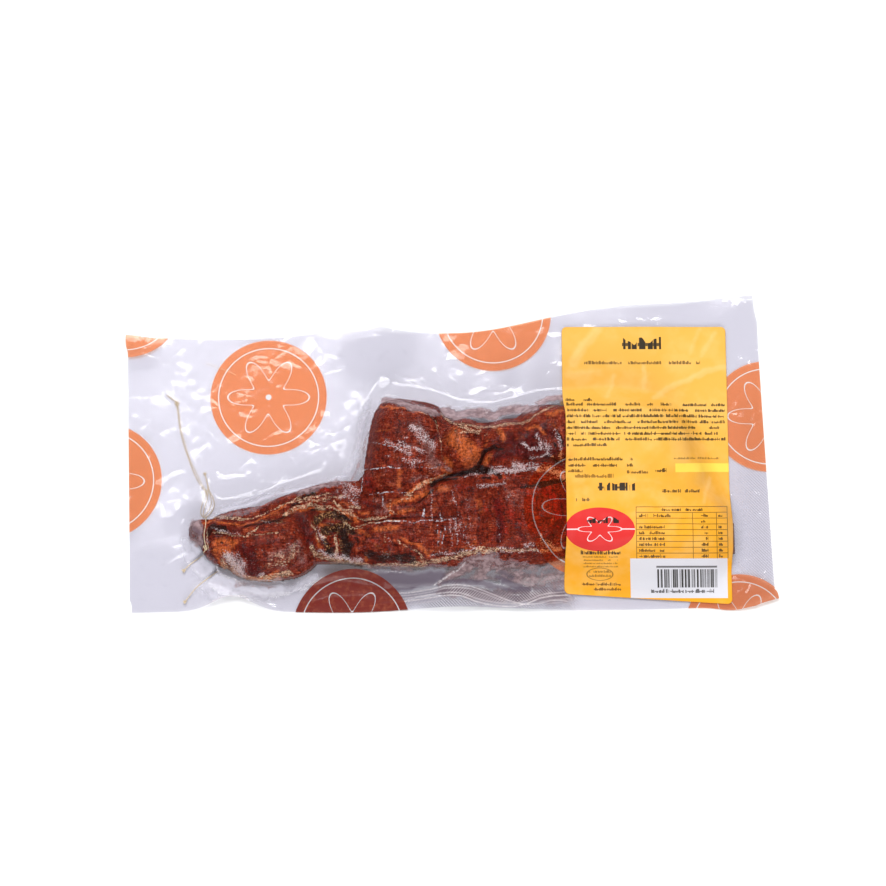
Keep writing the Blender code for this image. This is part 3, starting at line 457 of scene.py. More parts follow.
# Creases in the film: points, height, half width
CREASES = [
    ([(-26, 52), (-30.9, 42.2), (-32.8, 30.5), (-34.8, 28.4)], 0.4, 0.8),
    ([(-142.2, 25.4), (-145.8, 23.4), (-149.7, 19), (-152.6, 13.2), (-154.5, 6.9), (-155.4, 2.2)], 1, 1.4),
    ([(-155.3, -2.4), (-154.4, -10.3), (-152.9, -17.5)], 0.5, 1.6),
    ([(-152.9, -19.6), (-148.7, -19.2), (-143.8, -14.9), (-138.8, -12.5), (-134.1, -11.8)], 0.8, 1.6),
    ([(-141.9, 35.5), (-136.6, 31.7), (-132.9, 27.5), (-129.7, 20.1), (-126.9, 11.7)], 0.7, 1.5),
    ([(-126.9, 11.7), (-122.7, 6.5), (-116.4, -1.4)], 0.5, 1),
    ([(-124.7, 5.4), (-123, -2.5), (-121.8, -10.3), (-119.7, -14.5), (-115.1, -15.5), (-110, -14.2),
      (-104.9, -12.3)], 0.9, 1.4), ([(-143.8, 27.5), (-142.9, 32.8), (-140.4, 36)], 0.7, 2),
    ([(-135.6, 32.8), (-136.5, 27.4)], 0.5, 2), ([(-132.1, -4.2), (-129, -8.3), (-126.4, -11.3)], 0.9, 2.2),
    ([(-128.9, 7), (-132.8, 2.7)], 0.6, 1), ([(-125.6, 2.7), (-128.7, -2.5)], 0.5, 0.8),
    ([(-124, -1), (-127.5, -6.6)], 0.5, 0.8),
    ([(-152.3, -38.3), (-146.8, -35.1), (-142.3, -34.1), (-139.8, -31), (-140.4, -27.4)], 0.8, 1.5),
    ([(-148.1, -42.4), (-140.7, -36.2)], 0.6, 1.6),
    ([(-147.2, -61.4), (-136.2, -55.2), (-125.2, -50.8)], 0.8, 1.6),
    ([(-153, -49.1), (-135.1, -43.2)], 0.6, 1.6), ([(-146.2, -56.8), (-132.5, -47.9)], 0.5, 1.4),
    ([(-102, -5.5), (-97.7, -17.5), (-98.3, -25.8)], 0.9, 1.6),
    ([(-116.6, -18.6), (-100.8, -11.7), (-96.3, -7.7)], 0.7, 1.3),
    ([(-114.1, -28.8), (-108.5, -37)], 0.7, 1), ([(-108.7, -25.9), (-96.6, -19.6)], 0.5, 1.4),
    ([(-101.6, -33.7), (-93, -26.6), (-83.3, -17.6)], 0.9, 1.6), ([(-95.9, -29.5), (-89, -25.1)], 0.5, 1.2),
    ([(-84.6, -34.7), (-82.2, -24)], 0.6, 0.9), ([(-61.6, -15.1), (-54.4, 5.4)], 0.6, 1.4),
    ([(-53.4, -13.3), (-46.4, 4.5)], 0.6, 1.2), ([(-47.5, 4.7), (-50.9, 26.4)], 0.5, 1.4),
    ([(-72.1, -10.3), (-66.2, 8.1)], 0.4, 1.4), ([(-15.8, 24.6), (-17.5, 52.9)], 0.35, 1.2),
    ([(4.8, 24.1), (7.4, 55.7)], 0.35, 1.4), ([(27.9, 25.2), (31.7, 52.9)], 0.35, 1.2),
    ([(45.9, 28.6), (48.9, 55.6)], 0.35, 1.4),
    ([(3, -62.5), (0.5, -65.9), (-3.5, -68.6), (-7.5, -70.9)], 0.9, 1),
    ([(14.6, -65.4), (22.9, -58.1)], 0.5, 1), ([(20.7, -66.7), (27, -59.2)], 0.4, 1),
    ([(7.6, -65.5), (13.5, -59.2)], 0.4, 1),
    ([(-40, -73.1), (-33.4, -73.3), (-23.3, -72.6), (-13.1, -70.9), (-5.5, -70.5), (2.1, -70.1),
      (8.6, -70.7), (15.2, -72.3)], 0.6, 0.7),
    ([(-36.9, -79.4), (-25.8, -78.2), (-15.6, -76.6), (-8, -75.4), (0.5, -75.1), (5.6, -76),
      (12.2, -77.5), (19.8, -79.1), (27.3, -81.4)], 0.6, 0.7),
    ([(24.8, -80.1), (32.4, -80.3), (40, -79.6), (47.6, -76.7), (52.7, -75.2), (58.3, -74.9)], 0.6, 0.7),
    ([(-35.9, -76.6), (-25.8, -75.1), (-13.1, -73.3), (-7, -73.8)], 0.4, 0.7),
    ([(-76.4, -79.7), (-61.2, -76.1), (-46, -75.2), (-36.9, -79.1)], 0.5, 0.8),
    ([(-114.2, -72.4), (-101.4, -69.2), (-88.9, -71.5)], 0.6, 1.2),
    ([(-106.4, -79.1), (-92.6, -74.7)], 0.5, 1),
    ([(152.9, 81.3), (155.6, 37), (158.3, -13.9), (160.4, -77.3)], 0.4, 0.7),
]

# Soft folds in the label, with a painted highlight along them: points, height, half width
LABEL_FOLDS = [
    ([(76, 64), (70, 56), (63, 46)], 0.63, 2.2),
    ([(143, 44), (132, 42), (124, 37), (112, 33), (105, 27)], 0.63, 1.4),
    ([(100, 44), (101, 39), (100, 33)], 0.54, 1.2), ([(84, 39), (83, 32), (80, 26)], 0.45, 1.2),
    ([(132, -15), (126, -31)], 0.54, 1), ([(129, 64), (124, 52)], 0.36, 1.2),
    ([(137, 62), (130, 50)], 0.45, 1.2), ([(60, 40), (77, 41)], 0.36, 2.5),
]

# White seams along the front edge: the route of each, then its lines as distance behind it and strength
SEAMS = [
    ([(-55.1, -100), (-51.1, -81.2), (-35.9, -79.4), (-25.8, -78.2), (-15.6, -76.9), (-5.5, -75.5),
      (-0.5, -75), (4.6, -75.3), (8.6, -76.5), (12.2, -78), (17.2, -79.2), (24.8, -80.4), (32.4, -80.6),
      (39, -78.9), (45.1, -76.3), (50.2, -75.2), (61.3, -74.4), (65.3, -100)],
     [(0, 1), (1.6, 0.6), (-2, 0.5)]),
    ([(-55.1, -100), (-51.1, -72.6), (-33.4, -74.1), (-20.7, -73.4), (-10.6, -72.1), (-3, -70.2),
      (3.6, -69.8), (9.7, -70.4), (17.3, -72.8), (23.3, -75.2), (29.9, -77.8), (37.5, -79.6),
      (45.1, -79.1), (50.1, -77.5), (55.2, -77.2), (61.3, -78.2), (65.3, -100)],
     [(0, 0.9), (-1.3, 0.5)]),
]
SEAM_REACH = 20.0       # distances to a seam are stored up to half of this on either side
SEAM_WIDTH = 0.5        # half width of a seam's line

# Where the front film's fine embossed lines show as painted shade and highlights: points, half width,
# strength
HATCH = [
    ([(2, -73), (12, -75), (22, -77), (32, -77), (43, -75), (50, -74)], 3.1, 1),
    ([(-26, -79), (-6, -77)], 1.5, 0.4), ([(53, -77), (60, -77)], 2.5, 0.5),
]

# Where the back film's fine embossed lines show as painted shade: points, half width, strength
EMBOSS = [
    ([(-8, -77), (20, -79), (55, -76)], 8, 1), ([(-166, -40), (-160, 5)], 9, 0.3),
    ([(158, -60), (154, 20)], 9, 0.4), ([(-60, -80), (-20, -76)], 5, 0.4),
]

# Printed discs: centre x, y, radius and how much painted shadow lies behind them
DISCS = [(-94, 28, 30, 0), (-178, -16, 30, 0), (-50, -92, 30, 1), (22, 72, 30, 0), (67, -34, 31, 0),
         (163, 18, 29, 0), (146, -92, 28, 0.45), (-168, 77, 28, 0)]
DISC_RING, DISC_MIDDLE = 0.86, 0.05     # radii of the white ring and dot in a disc, as shares of its own
PETALS = 6

# The meat's string: how thick each length is, and its route in plan
STRINGS = {
    "bar": (1.3, [(-146.5, 29.2), (-143.8, 27.1), (-140.7, 25.3)]),
    "strand": (1, [(-141.7, 25), (-140.6, 19.7), (-139.3, 11.3), (-137.1, 2.9), (-134.9, -3.3),
                   (-132.7, -9.1), (-130, -14.8), (-126.9, -19.5), (-124.2, -23.6)]),
    "pale_strand": (0.7, [(-140.7, 24.5), (-139.8, 18.2), (-138.6, 10.8), (-136, 1.9), (-133.8, -4.9),
                          (-130.6, -11.2), (-127.9, -16.4), (-124.8, -21.6)]),
    "left_loop": (0.8, [(-124.3, -19.5), (-125.7, -24.2), (-127.4, -29.3), (-127.6, -33), (-126, -35)]),
    "inner_loop": (0.8, [(-124, -20), (-124.7, -25.7), (-126.1, -30.4), (-126.5, -34)]),
    "right_loop": (1, [(-126, -12.2), (-124.9, -16.4), (-123.8, -20.5), (-121.6, -24.7), (-121, -28.8),
                       (-123, -33), (-126, -35)]),
    "crossing": (0.7, [(-125.4, -13.8), (-123.2, -22.6), (-122.3, -27.3), (-124.3, -31.9), (-126.5, -34.5)]),
    "neck": (1, [(-125, -34.5), (-124.1, -39.2), (-124.5, -45.3), (-123.9, -49.4), (-123.1, -52.5)]),
    "straight_end": (1.2, [(-123.1, -52.5), (-127.6, -55.4), (-132.1, -58.7), (-135.6, -62.1)]),
    "long_end": (1.2, [(-118.3, -62.3), (-123.7, -66.5), (-129.2, -71.1), (-134.7, -78.1)]),
    "thin_end": (0.45, [(-126.7, 45.9), (-123.1, 44.8), (-119.4, 43.3), (-115.2, 41.7), (-111.1, 39.8)]),
}
# Its knots: x, y and size
KNOTS = [(-141.2, 24.5, 1.2), (-126, -12.2, 0.7), (-123.4, -52, 1.3), (-135.6, -62.1, 0.9),
         (-134.7, -78.1, 0.8)]


def edge_pull(x, pulls):
    """How far an edge is moved at x."""
    return sum(move * np.exp(-(((x - place) / fade) ** 2)) for place, move, fade in pulls)


def edge(x, left, right, pulls):
    """Y of a long edge of the pouch between its two corners."""
    (x0, y0), (x1, y1) = CORNERS[left], CORNERS[right]
    inside = np.clip((x - x0) / CORNER_FADE, 0, 1) * np.clip((x1 - x) / CORNER_FADE, 0, 1)
    return y0 + (y1 - y0) * (x - x0) / (x1 - x0) + edge_pull(x, pulls) * inside


def front_edge(x):
    return edge(x, "front_left", "front_right", FRONT_EDGE_PULL)


def back_edge(x):
    return edge(x, "back_left", "back_right", BACK_EDGE_PULL)


def side_edge(side, share):
    """X of the left or right edge at a share of the way from its front corner to its back one."""
    front, back = CORNERS["front_" + side], CORNERS["back_" + side]
    return front[0] + (back[0] - front[0]) * share + SIDE_BOW * np.sin(2 * np.pi * share)


def beside_label(x, fade):
    """0 under the label, rising to 1 at this distance to its left or right."""
    middle, half = (LABEL_LEFT + LABEL_RIGHT) / 2, (LABEL_RIGHT - LABEL_LEFT) / 2
    return np.clip(np.abs(x - middle) - half, 0, fade) / fade


def label_front(x):
    """Y of the label's front edge, and of the line that it runs on in to either side."""
    share = np.clip((x - LABEL_LEFT) / (LABEL_RIGHT - LABEL_LEFT), 0, 1)
    away = beside_label(x, 25)
    on_label = LABEL_FRONT_LEFT + (LABEL_FRONT_RIGHT - LABEL_FRONT_LEFT) * share
    return on_label * (1 - away) + (front_edge(x) + FRONT_MARGIN) * away


def label_back(x):
    """Y of the label's back edge, and of the line that it runs on in to either side."""
    away = beside_label(x, 40)
    return LABEL_BACK * (1 - away) + (back_edge(x) - BACK_MARGIN) * away


def stops(counts):
    """Cumulative shares 0 to 1 to 2 to 3 for three stretches with these numbers of faces."""
    return np.concatenate([[0.0]] + [part + np.arange(1, n + 1) / n for part, n in enumerate(counts)])


def between(share, edges):
    """The value at share 0 to 3 between four edges, straight from each to the next."""
    part = np.minimum(share.astype(int), 2)
    low, high = np.choose(part, edges[:3]), np.choose(part, edges[1:])
    return low + (high - low) * (share - part)


def plan_grid(columns, rows):
    """Plan x and y of a grid of points over the whole pouch, which follows its edges and the label's."""
    along, across = np.meshgrid(stops(columns), stops(rows), indexing="ij")
    left, right = side_edge("left", across / 3), side_edge("right", across / 3)
    x = between(along, [left, np.full_like(left, LABEL_LEFT), np.full_like(left, LABEL_RIGHT), right])
    return x, between(across, [front_edge(x), label_front(x), label_back(x), back_edge(x)])


OUTLINE = plan_grid((80, 20, 8), (4, 40, 4))
PLAN_ORIGIN = Vector(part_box("bag")[0]) - Vector((OUTLINE[0].min(), OUTLINE[1].min(), 0)) * MM


def random_grid(seed, cells=128):
    """A function of random values from -1 to 1 at whole coordinates, the same again after this many cells."""
    table = np.random.default_rng(seed).uniform(-1, 1, (cells, cells))
    return lambda i, j: table[i % cells, j % cells]


def cell(u, v):
    """The grid cell that coordinates lie in, and their place within it."""
    i, j = np.floor(u).astype(int), np.floor(v).astype(int)
    return i, j, u - i, v - j


def noise(x, y, size, seed):
    """Smooth random values from -1 to 1 with features of this size."""
    value = random_grid(seed)
    i, j, a, b = cell(x / size, y / size)
    a, b = a * a * (3 - 2 * a), b * b * (3 - 2 * b)
    near = value(i, j) * (1 - b) + value(i, j + 1) * b
    far = value(i + 1, j) * (1 - b) + value(i + 1, j + 1) * b
    return near * (1 - a) + far * a


def layered(x, y, size, seed, layers=3):
    """Noise with finer and weaker layers on top."""
    return sum(noise(x, y, size / 2**n, seed + n) / 2**n for n in range(layers)) / (2 - 0.5 ** (layers - 1))


def grain(x, y, length, width, turn, seed):
    """Noise drawn out along a direction, for fibres."""
    angle = math.radians(turn)
    along = x * math.cos(angle) + y * math.sin(angle)
    across = -x * math.sin(angle) + y * math.cos(angle)
    return layered(along * width / length, across, width, seed, 2)


def facets(x, y, size, seed):
    """Flat facets of about this size with sharp creases between them, from -1 to 1."""
    value = random_grid(seed)
    bend_x, bend_y = (0.3 * size * noise(x, y, 1.6 * size, seed + n) for n in (1, 2))
    x, y = x + bend_x, y + bend_y
    u = (x * math.cos(seed) + y * math.sin(seed)) / size
    v = (y * math.cos(seed) - x * math.sin(seed)) / size
    i, j, a, b = cell(u, v)
    beside = np.where(a > b, value(i + 1, j), value(i, j + 1))
    low, high = np.minimum(a, b), np.maximum(a, b)
    return value(i, j) * (1 - high) + beside * (high - low) + value(i + 1, j + 1) * low


def crumbs(x, y, size, seed, cells=64):
    """0 in the cracks between irregular crumbs of this size, rising towards the middle of each."""
    shift = np.random.default_rng(seed).uniform(0.1, 0.9, (cells, cells, 2))
    i, j, a, b = cell(x / size, y / size)
    nearest, second = np.full_like(x, 9.0), np.full_like(x, 9.0)
    for di in (-1, 0, 1):
        for dj in (-1, 0, 1):
            point = shift[(i + di) % cells, (j + dj) % cells]
            away = np.hypot(a - di - point[..., 0], b - dj - point[..., 1])
            second = np.minimum(second, np.maximum(nearest, away))
            nearest = np.minimum(nearest, away)
    return second - nearest


def smooth_step(value, low, high):
    """0 below low and 1 above high, with a smooth rise between."""
    share = np.clip((value - low) / (high - low), 0, 1)
    return share * share * (3 - 2 * share)


def line_distance(x, y, start, end):
    """Distance in plan to a straight line, and the share of the way along it."""
    dx, dy = end[0] - start[0], end[1] - start[1]
    share = np.clip(((x - start[0]) * dx + (y - start[1]) * dy) / (dx * dx + dy * dy), 0, 1)
    return np.hypot(x - start[0] - share * dx, y - start[1] - share * dy), share


def route_distance(x, y, points):
    """Distance in plan to the nearest of the straight lines through these points."""
    return np.min([line_distance(x, y, a, b)[0] for a, b in zip(points, points[1:])], axis=0)


def wavering(x, y):
    """Places shifted a little, so that a line drawn along them is uneven."""
    return x + WAVER * layered(x, y, 5, 71), y + WAVER * layered(x, y, 5, 81)


def painted(strokes, x, y):
    """How strongly a list of strokes lies on each place, 0 to 1, with wavering edges."""
    x, y = wavering(x, y)
    total = np.zeros_like(x)
    for points, width, strength in strokes:
        total = np.maximum(total, strength * np.exp(-((route_distance(x, y, points) / width) ** 2)))
    return total


def lump_height(x, y, lump):
    """Height of one lump: a low dome on a rounded, turned outline."""
    cx, cy, length, width, turn, height, square = lump
    angle = np.radians(turn)
    a = ((x - cx) * np.cos(angle) + (y - cy) * np.sin(angle)) / length
    b = (-(x - cx) * np.sin(angle) + (y - cy) * np.cos(angle)) / width
    radius = (np.abs(a) ** square + np.abs(b) ** square) ** (1 / square)
    return MEAT_HEIGHT * height * np.clip(1 - radius**FULLNESS, 0, 1) ** 0.5


def meat_height(x, y):
    """The meat's main form, as in the part's source."""
    return sum(lump_height(x, y, lump) ** BLEND for lump in LUMPS.values()) ** (1 / BLEND)


def meat_relief(x, y, form):
    """The meat's main form with its own uneven surface: lumps, fibres, crumbled char and crevices."""
    char = painted(PAINT["char"], x, y)
    fibres = grain(x, y, 7, 1.3, 6, 21) * 0.25 + grain(x, y, 4, 0.9, -75, 31) * 0.1
    uneven = layered(x, y, 8, 11) * 0.8 + layered(x, y, 2.8, 15, 3) * 0.4 + fibres
    crust = char * (1.3 * crumbs(x, y, 3.4, 41) - 0.9 + 0.4 * noise(x, y, 1.6, 43))
    wx, wy = wavering(x, y)
    cuts = sum(depth * np.exp(-((route_distance(wx, wy, points) / width) ** 2))
               for points, width, depth in CREVICES)
    return form + (uneven + crust - cuts) * np.clip(form / 4, 0, 1)


def spread(region, steps):
    """A region grown by this many grid steps, or shrunk if they are negative."""
    region = region.copy() if steps > 0 else ~region
    for turn in range(abs(steps)):
        grown = region.copy()
        for move in ((1, 0), (-1, 0), (0, 1), (0, -1)) if turn % 2 else ((1, 1), (-1, -1), (1, -1), (-1, 1)):
            grown |= np.roll(region, move, (0, 1))
        region = grown
    return region if steps > 0 else ~region


def meat_outline(form, step):
    """Where there is meat: under the lumps, and in the narrow gaps between them."""
    steps = round(GAP_FILLED / step)
    return spread(spread(form > EDGE_HEIGHT, steps), -steps)


def ridge_height(x, y):
    """Height of the ridges of stretched film, sharp along their tops."""
    top = np.zeros_like(x)
    for x0, y0, z0, x1, y1, z1, width in RIDGES:
        near, share = line_distance(x, y, (x0, y0), (x1, y1))
        top = np.maximum(top, (z0 + (z1 - z0) * share) * (1 - near / width))
    return top


def meat_clearance(meat):
    """0 under the meat and for REST_MARGIN round it, rising to 1 over LIFT_FADE."""
    away = np.where(meat > 0.5, 0.0, REST_MARGIN + LIFT_FADE)
    for _ in range(int((REST_MARGIN + LIFT_FADE) / COARSE)):
        away[1:] = np.minimum(away[1:], away[:-1] + COARSE)
        away[:-1] = np.minimum(away[:-1], away[1:] + COARSE)
        away[:, 1:] = np.minimum(away[:, 1:], away[:, :-1] + COARSE)
        away[:, :-1] = np.minimum(away[:, :-1], away[:, 1:] + COARSE)
    return np.clip((away - REST_MARGIN) / LIFT_FADE, 0, 1)


def tighten(film, held, step, fillet, passes):
    """Draws a film down onto what holds it up, leaving a hollow of this radius where it spans."""
    sag = step**2 / (4 * fillet)
    for _ in range(passes):
        middle = (film[:-2, 1:-1] + film[2:, 1:-1] + film[1:-1, :-2] + film[1:-1, 2:]) / 4 - sag
        film[1:-1, 1:-1] = np.maximum(held[1:-1, 1:-1], middle)
    return film


class HeightMap:
    """Heights on a square grid over the plan, in millimetres."""

    def __init__(self, values, step):
        self.values = values
        self.step = step

    def at(self, x, y):
        """Heights between the grid's points."""
        i = np.clip((x - PLAN_LEFT) / self.step, 0, self.values.shape[0] - 1.001)
        j = np.clip((y - PLAN_FRONT) / self.step, 0, self.values.shape[1] - 1.001)
        a, b = i.astype(int), j.astype(int)
        fa, fb = i - a, j - b
        low = self.values[a, b] * (1 - fb) + self.values[a, b + 1] * fb
        high = self.values[a + 1, b] * (1 - fb) + self.values[a + 1, b + 1] * fb
        return low * (1 - fa) + high * fa


PLAN_LEFT, PLAN_RIGHT = -176, 176
PLAN_FRONT, PLAN_BACK = -92, 92


def plan_mesh(step):
    """Plan x and y of a square grid that reaches past the pouch on all sides."""
    across = np.arange(PLAN_LEFT, PLAN_RIGHT + step, step)
    return np.meshgrid(across, np.arange(PLAN_FRONT, PLAN_BACK + step, step), indexing="ij")


def softened(values, passes=1):
    """Values evened out with their neighbours' on a grid, this many times."""
    for _ in range(passes):
        values = values.copy()
        beside = values[:-2, 1:-1] + values[2:, 1:-1] + values[1:-1, :-2] + values[1:-1, 2:]
        values[1:-1, 1:-1] = (values[1:-1, 1:-1] * 4 + beside) / 8
    return values


def crease_height(x, y, creases):
    """Creases pinched into the film, each highest in the middle of its length."""
    top = np.zeros_like(x)
    for points, height, width in creases:
        lengths = np.cumsum([0] + [math.dist(a, b) for a, b in zip(points, points[1:])])
        for index, (a, b) in enumerate(zip(points, points[1:])):
            near, share = line_distance(x, y, a, b)
            along = (lengths[index] + share * (lengths[index + 1] - lengths[index])) / lengths[-1]
            top = np.maximum(top, height * np.exp(-near / width) * (1 - (2 * along - 1) ** 4))
    return top


def crumpling(x, y):
    """Height of the loose film's crumpled facets: uneven, and none along the seals."""
    strength = np.clip(0.55 + 0.6 * noise(x, y, 42, 64), 0.2, 1)
    share = np.clip((y - front_edge(x)) / (back_edge(x) - front_edge(x)), 0, 1)
    inward = np.min([y - front_edge(x), back_edge(x) - y, x - side_edge("left", share),
                     side_edge("right", share) - x], axis=0)
    height = sum(size * slope * (1 + facets(x, y, size, 55 + size))
                 for size, slope in ((17, 0.01), (8, 0.016), (4, 0.02)))
    return smooth_step(inward, 1, 10) * strength * np.clip(height - 0.15, 0, None)


@functools.lru_cache(maxsize=None)
def maps():
    """The back film, the meat, the front film and the label's underside as height maps."""
    x, y = plan_mesh(COARSE)
    form = meat_height(x, y)
    filled = tighten(form.copy(), form, COARSE, FILL_FILLET, FILL_PASSES)
    lift = sum(h * np.exp(-(((x - cx) ** 2 + (y - cy) ** 2) / r**2)) for cx, cy, r, h in LIFTS)
    waves = 0.9 * np.clip(layered(x, y, 34, 51), 0, None)
    back = (lift + waves) * meat_clearance(form)
    on_meat = np.where(meat_outline(form, COARSE), filled, 0)
    held = np.maximum(on_meat, np.maximum(ridge_height(x, y), back + FILM_GAP))
    film = HeightMap(tighten(held.copy(), held, COARSE, SPAN_FILLET, COARSE_PASSES), COARSE)
    filled = HeightMap(filled, COARSE)
    back = HeightMap(back, COARSE)

    x, y = plan_mesh(FINE)
    form = meat_height(x, y)
    outline = meat_outline(form, FINE)
    form = np.where(outline, np.maximum(form, softened(filled.at(x, y), 2)), 0)
    meat = np.where(outline, np.maximum(meat_relief(x, y, form), MEAT_FLOOR + 0.3), 0)
    back, film = back.at(x, y), softened(film.at(x, y), 3)
    loose = softened(np.where(outline, smooth_step(film - meat, 0.3, 3.0), 1.0), 4)
    held = np.maximum(meat + MEAT_GAP, back + FILM_GAP / 2)
    for thickness, route in STRINGS.values():
        top = STRING_STAND * STRING_RADIUS * thickness - STRING_TENT * route_distance(x, y, route)
        held = np.maximum(held, np.maximum(back, meat) + top)
    film = softened(tighten(np.maximum(film, held), held, FINE, HUG_FILLET, FINE_PASSES), 1)
    label = softened(film, 6) + crease_height(x, y, LABEL_FOLDS)
    film = film + loose * (0.7 * crease_height(x, y, CREASES) + crumpling(x, y))
    film = np.maximum(film, meat + MEAT_GAP * 0.7)
    covered = (x > LABEL_LEFT - 1) & (x < LABEL_RIGHT + 1) & (y < LABEL_BACK + 1)
    covered = softened(np.where(covered, 1.0, 0.0), 3)
    film = film * (1 - covered) + np.minimum(film, label) * covered
    found = {"back": softened(back, 2), "meat": meat, "film": film, "label": label}
    return {name: HeightMap(values, FINE) for name, values in found.items()}


def grid_faces(columns, rows):
    """Four corners of each face of a grid of points."""
    index = np.arange(columns * rows).reshape(columns, rows)
    corners = (index[:-1, :-1], index[1:, :-1], index[1:, 1:], index[:-1, 1:])
    return np.stack(corners, axis=-1).reshape(-1, 4)


def add_object(name, data):
    """Links a new object to the scene."""
    made = bpy.data.objects.new(name, data)
    bpy.context.scene.collection.objects.link(made)
    return made


def add_piece(name, points, faces, material, replaced):
    """Makes a mesh object from points in plan millimetres, on the frame's one body."""
    mesh = bpy.data.meshes.new(name)
    mesh.from_pydata(np.asarray(points) * MM + np.array(PLAN_ORIGIN), [], [list(face) for face in faces])
    mesh.materials.append(material)
    mesh.shade_smooth()
    piece = add_object(name, mesh)
    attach(piece, "root")
    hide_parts(*replaced)
    return piece


def add_masks(piece, name, layers):
    """Stores up to four values per point, which the material reads as a colour attribute."""
    colour = np.zeros((len(piece.data.vertices), 4), dtype=np.float32)
    for channel, layer in enumerate(layers):
        colour[:, channel] = layer
    attribute = piece.data.color_attributes.new(name, "FLOAT_COLOR", "POINT")
    attribute.data.foreach_set("color", colour.ravel())


class Socket:
    """A node's output in a sum: an expression on sockets and numbers adds its Math nodes."""

    def __init__(self, graph, output):
        self.graph = graph
        self.output = output

    def math(self, operation, *others):
        return self.graph.node("ShaderNodeMath", dict(enumerate((self, *others))), operation=operation)

    def __add__(self, other):
        return self.math("ADD", other)

    def __sub__(self, other):
        return self.math("SUBTRACT", other)

    def __rsub__(self, other):
        return self.math("MULTIPLY_ADD", -1, other)

    def __mul__(self, other):
        return self.math("MULTIPLY", other)

    def __truediv__(self, other):
        return self.math("DIVIDE", other)

    def __lt__(self, other):
        return self.math("LESS_THAN", other)

    def __gt__(self, other):
        return self.math("GREATER_THAN", other)

    __radd__, __rmul__ = __add__, __mul__

    def larger(self, other):
        return self.math("MAXIMUM", other)

    def step(self, low, high):
        """0 below low and 1 above high, with a smooth rise between."""
        return self.graph.node("ShaderNodeMapRange", {"Value": self, "From Min": low, "From Max": high},
                               interpolation_type="SMOOTHSTEP")


class Graph:
    """The nodes of one new material."""

    def __init__(self, name):
        self.material = bpy.data.materials.new(name)
        self.material.use_nodes = True
        self.tree = self.material.node_tree
        self.tree.nodes.clear()

    def node(self, kind, values, output=0, **settings):
        """Adds a node with these settings and inputs, and gives one of its outputs."""
        made = self.tree.nodes.new(kind)
        for setting, value in settings.items():
            setattr(made, setting, value)
        for key, value in values.items():
            if isinstance(value, Socket):
                self.tree.links.new(value.output, made.inputs[key])
            else:
                made.inputs[key].default_value = (*value, 1.0) if isinstance(value, Color) else value
        return Socket(self, made.outputs[output])

    def vector(self, operation, a, b, c=(0, 0, 0)):
        return self.node("ShaderNodeVectorMath", {0: a, 1: b, 2: c}, operation=operation)

    def plan(self):
        """The place of each point, in plan millimetres."""
        place = self.node("ShaderNodeTexCoord", {}, "Object")
        return self.vector("MULTIPLY_ADD", place, (1 / MM,) * 3, tuple(-PLAN_ORIGIN / MM))

    def parts(self, place):
        return [self.node("ShaderNodeSeparateXYZ", {0: place}, axis) for axis in "XYZ"]

    def masks(self, name):
        """The four values per point that add_masks stored."""
        colour = self.node("ShaderNodeAttribute", {}, "Color", attribute_name=name)
        split = [self.node("ShaderNodeSeparateColor", {0: colour}, part) for part in ("Red", "Green", "Blue")]
        return split + [self.node("ShaderNodeAttribute", {}, "Alpha", attribute_name=name)]

    def noise(self, place, size, detail=2.0, roughness=0.55):
        values = {"Vector": place, "Scale": 1 / size, "Detail": detail, "Roughness": roughness}
        return self.node("ShaderNodeTexNoise", values)

    def stretched_noise(self, place, sizes, detail=2.0):
        """Noise whose features have these sizes along X, Y and Z."""
        return self.noise(self.vector("DIVIDE", place, sizes), 1, detail)

    def crumple(self, place, size):
        """Facets of about this size with sharp ridges between them."""
        values = {"Vector": place, "Scale": 1 / size}
        return self.node("ShaderNodeTexVoronoi", values, feature="DISTANCE_TO_EDGE")

    def mix(self, share, a, b):
        return self.node("ShaderNodeMix", {0: share, 6: a, 7: b}, 2, data_type="RGBA")

    def mix_shaders(self, share, a, b):
        return self.node("ShaderNodeMixShader", {0: share, 1: a, 2: b})

    def bump(self, height):
        """A normal from a height in millimetres."""
        return self.node("ShaderNodeBump", {"Height": height, "Distance": MM, "Strength": 1})

    def surface(self, colour, roughness, normal=None, specular=0.5):
        """The shader of an opaque surface."""
        values = {"Base Color": colour, "Roughness": roughness, "Specular IOR Level": specular}
        if normal is not None:
            values["Normal"] = normal
        return self.node("ShaderNodeBsdfPrincipled", values)

    def clear_film(self, colour):
        return self.node("ShaderNodeBsdfTransparent", {"Color": colour})

    def glossed(self, body, normal, roughness, share=1):
        """A clear film over a body shader. It mirrors alike from above and from below, times this share."""
        facing = self.node("ShaderNodeLayerWeight", {"Blend": 0.5, "Normal": normal}, "Facing")
        values = {"Color": (1, 1, 1, 1), "Roughness": roughness, "Normal": normal}
        mirrored = (facing.math("POWER", 5) * 0.96 + 0.04) * share
        return self.mix_shaders(mirrored, body, self.node("ShaderNodeBsdfGlossy", values))

    def finish(self, shader):
        self.tree.links.new(shader.output, self.tree.nodes.new("ShaderNodeOutputMaterial").inputs["Surface"])
        return self.material


def colour_property(name, description, default):
    return bpy.props.FloatVectorProperty(name=name, description=description, default=default, size=3,
                                         min=0, max=1, subtype="COLOR")


def length_property(name, description, default):
    return bpy.props.FloatProperty(name=name, description=description, default=default, min=0,
                                   unit="LENGTH", precision=5)


def power_property(name, description, default):
    return bpy.props.FloatProperty(name=name, description=description, default=default, min=0, unit="POWER")


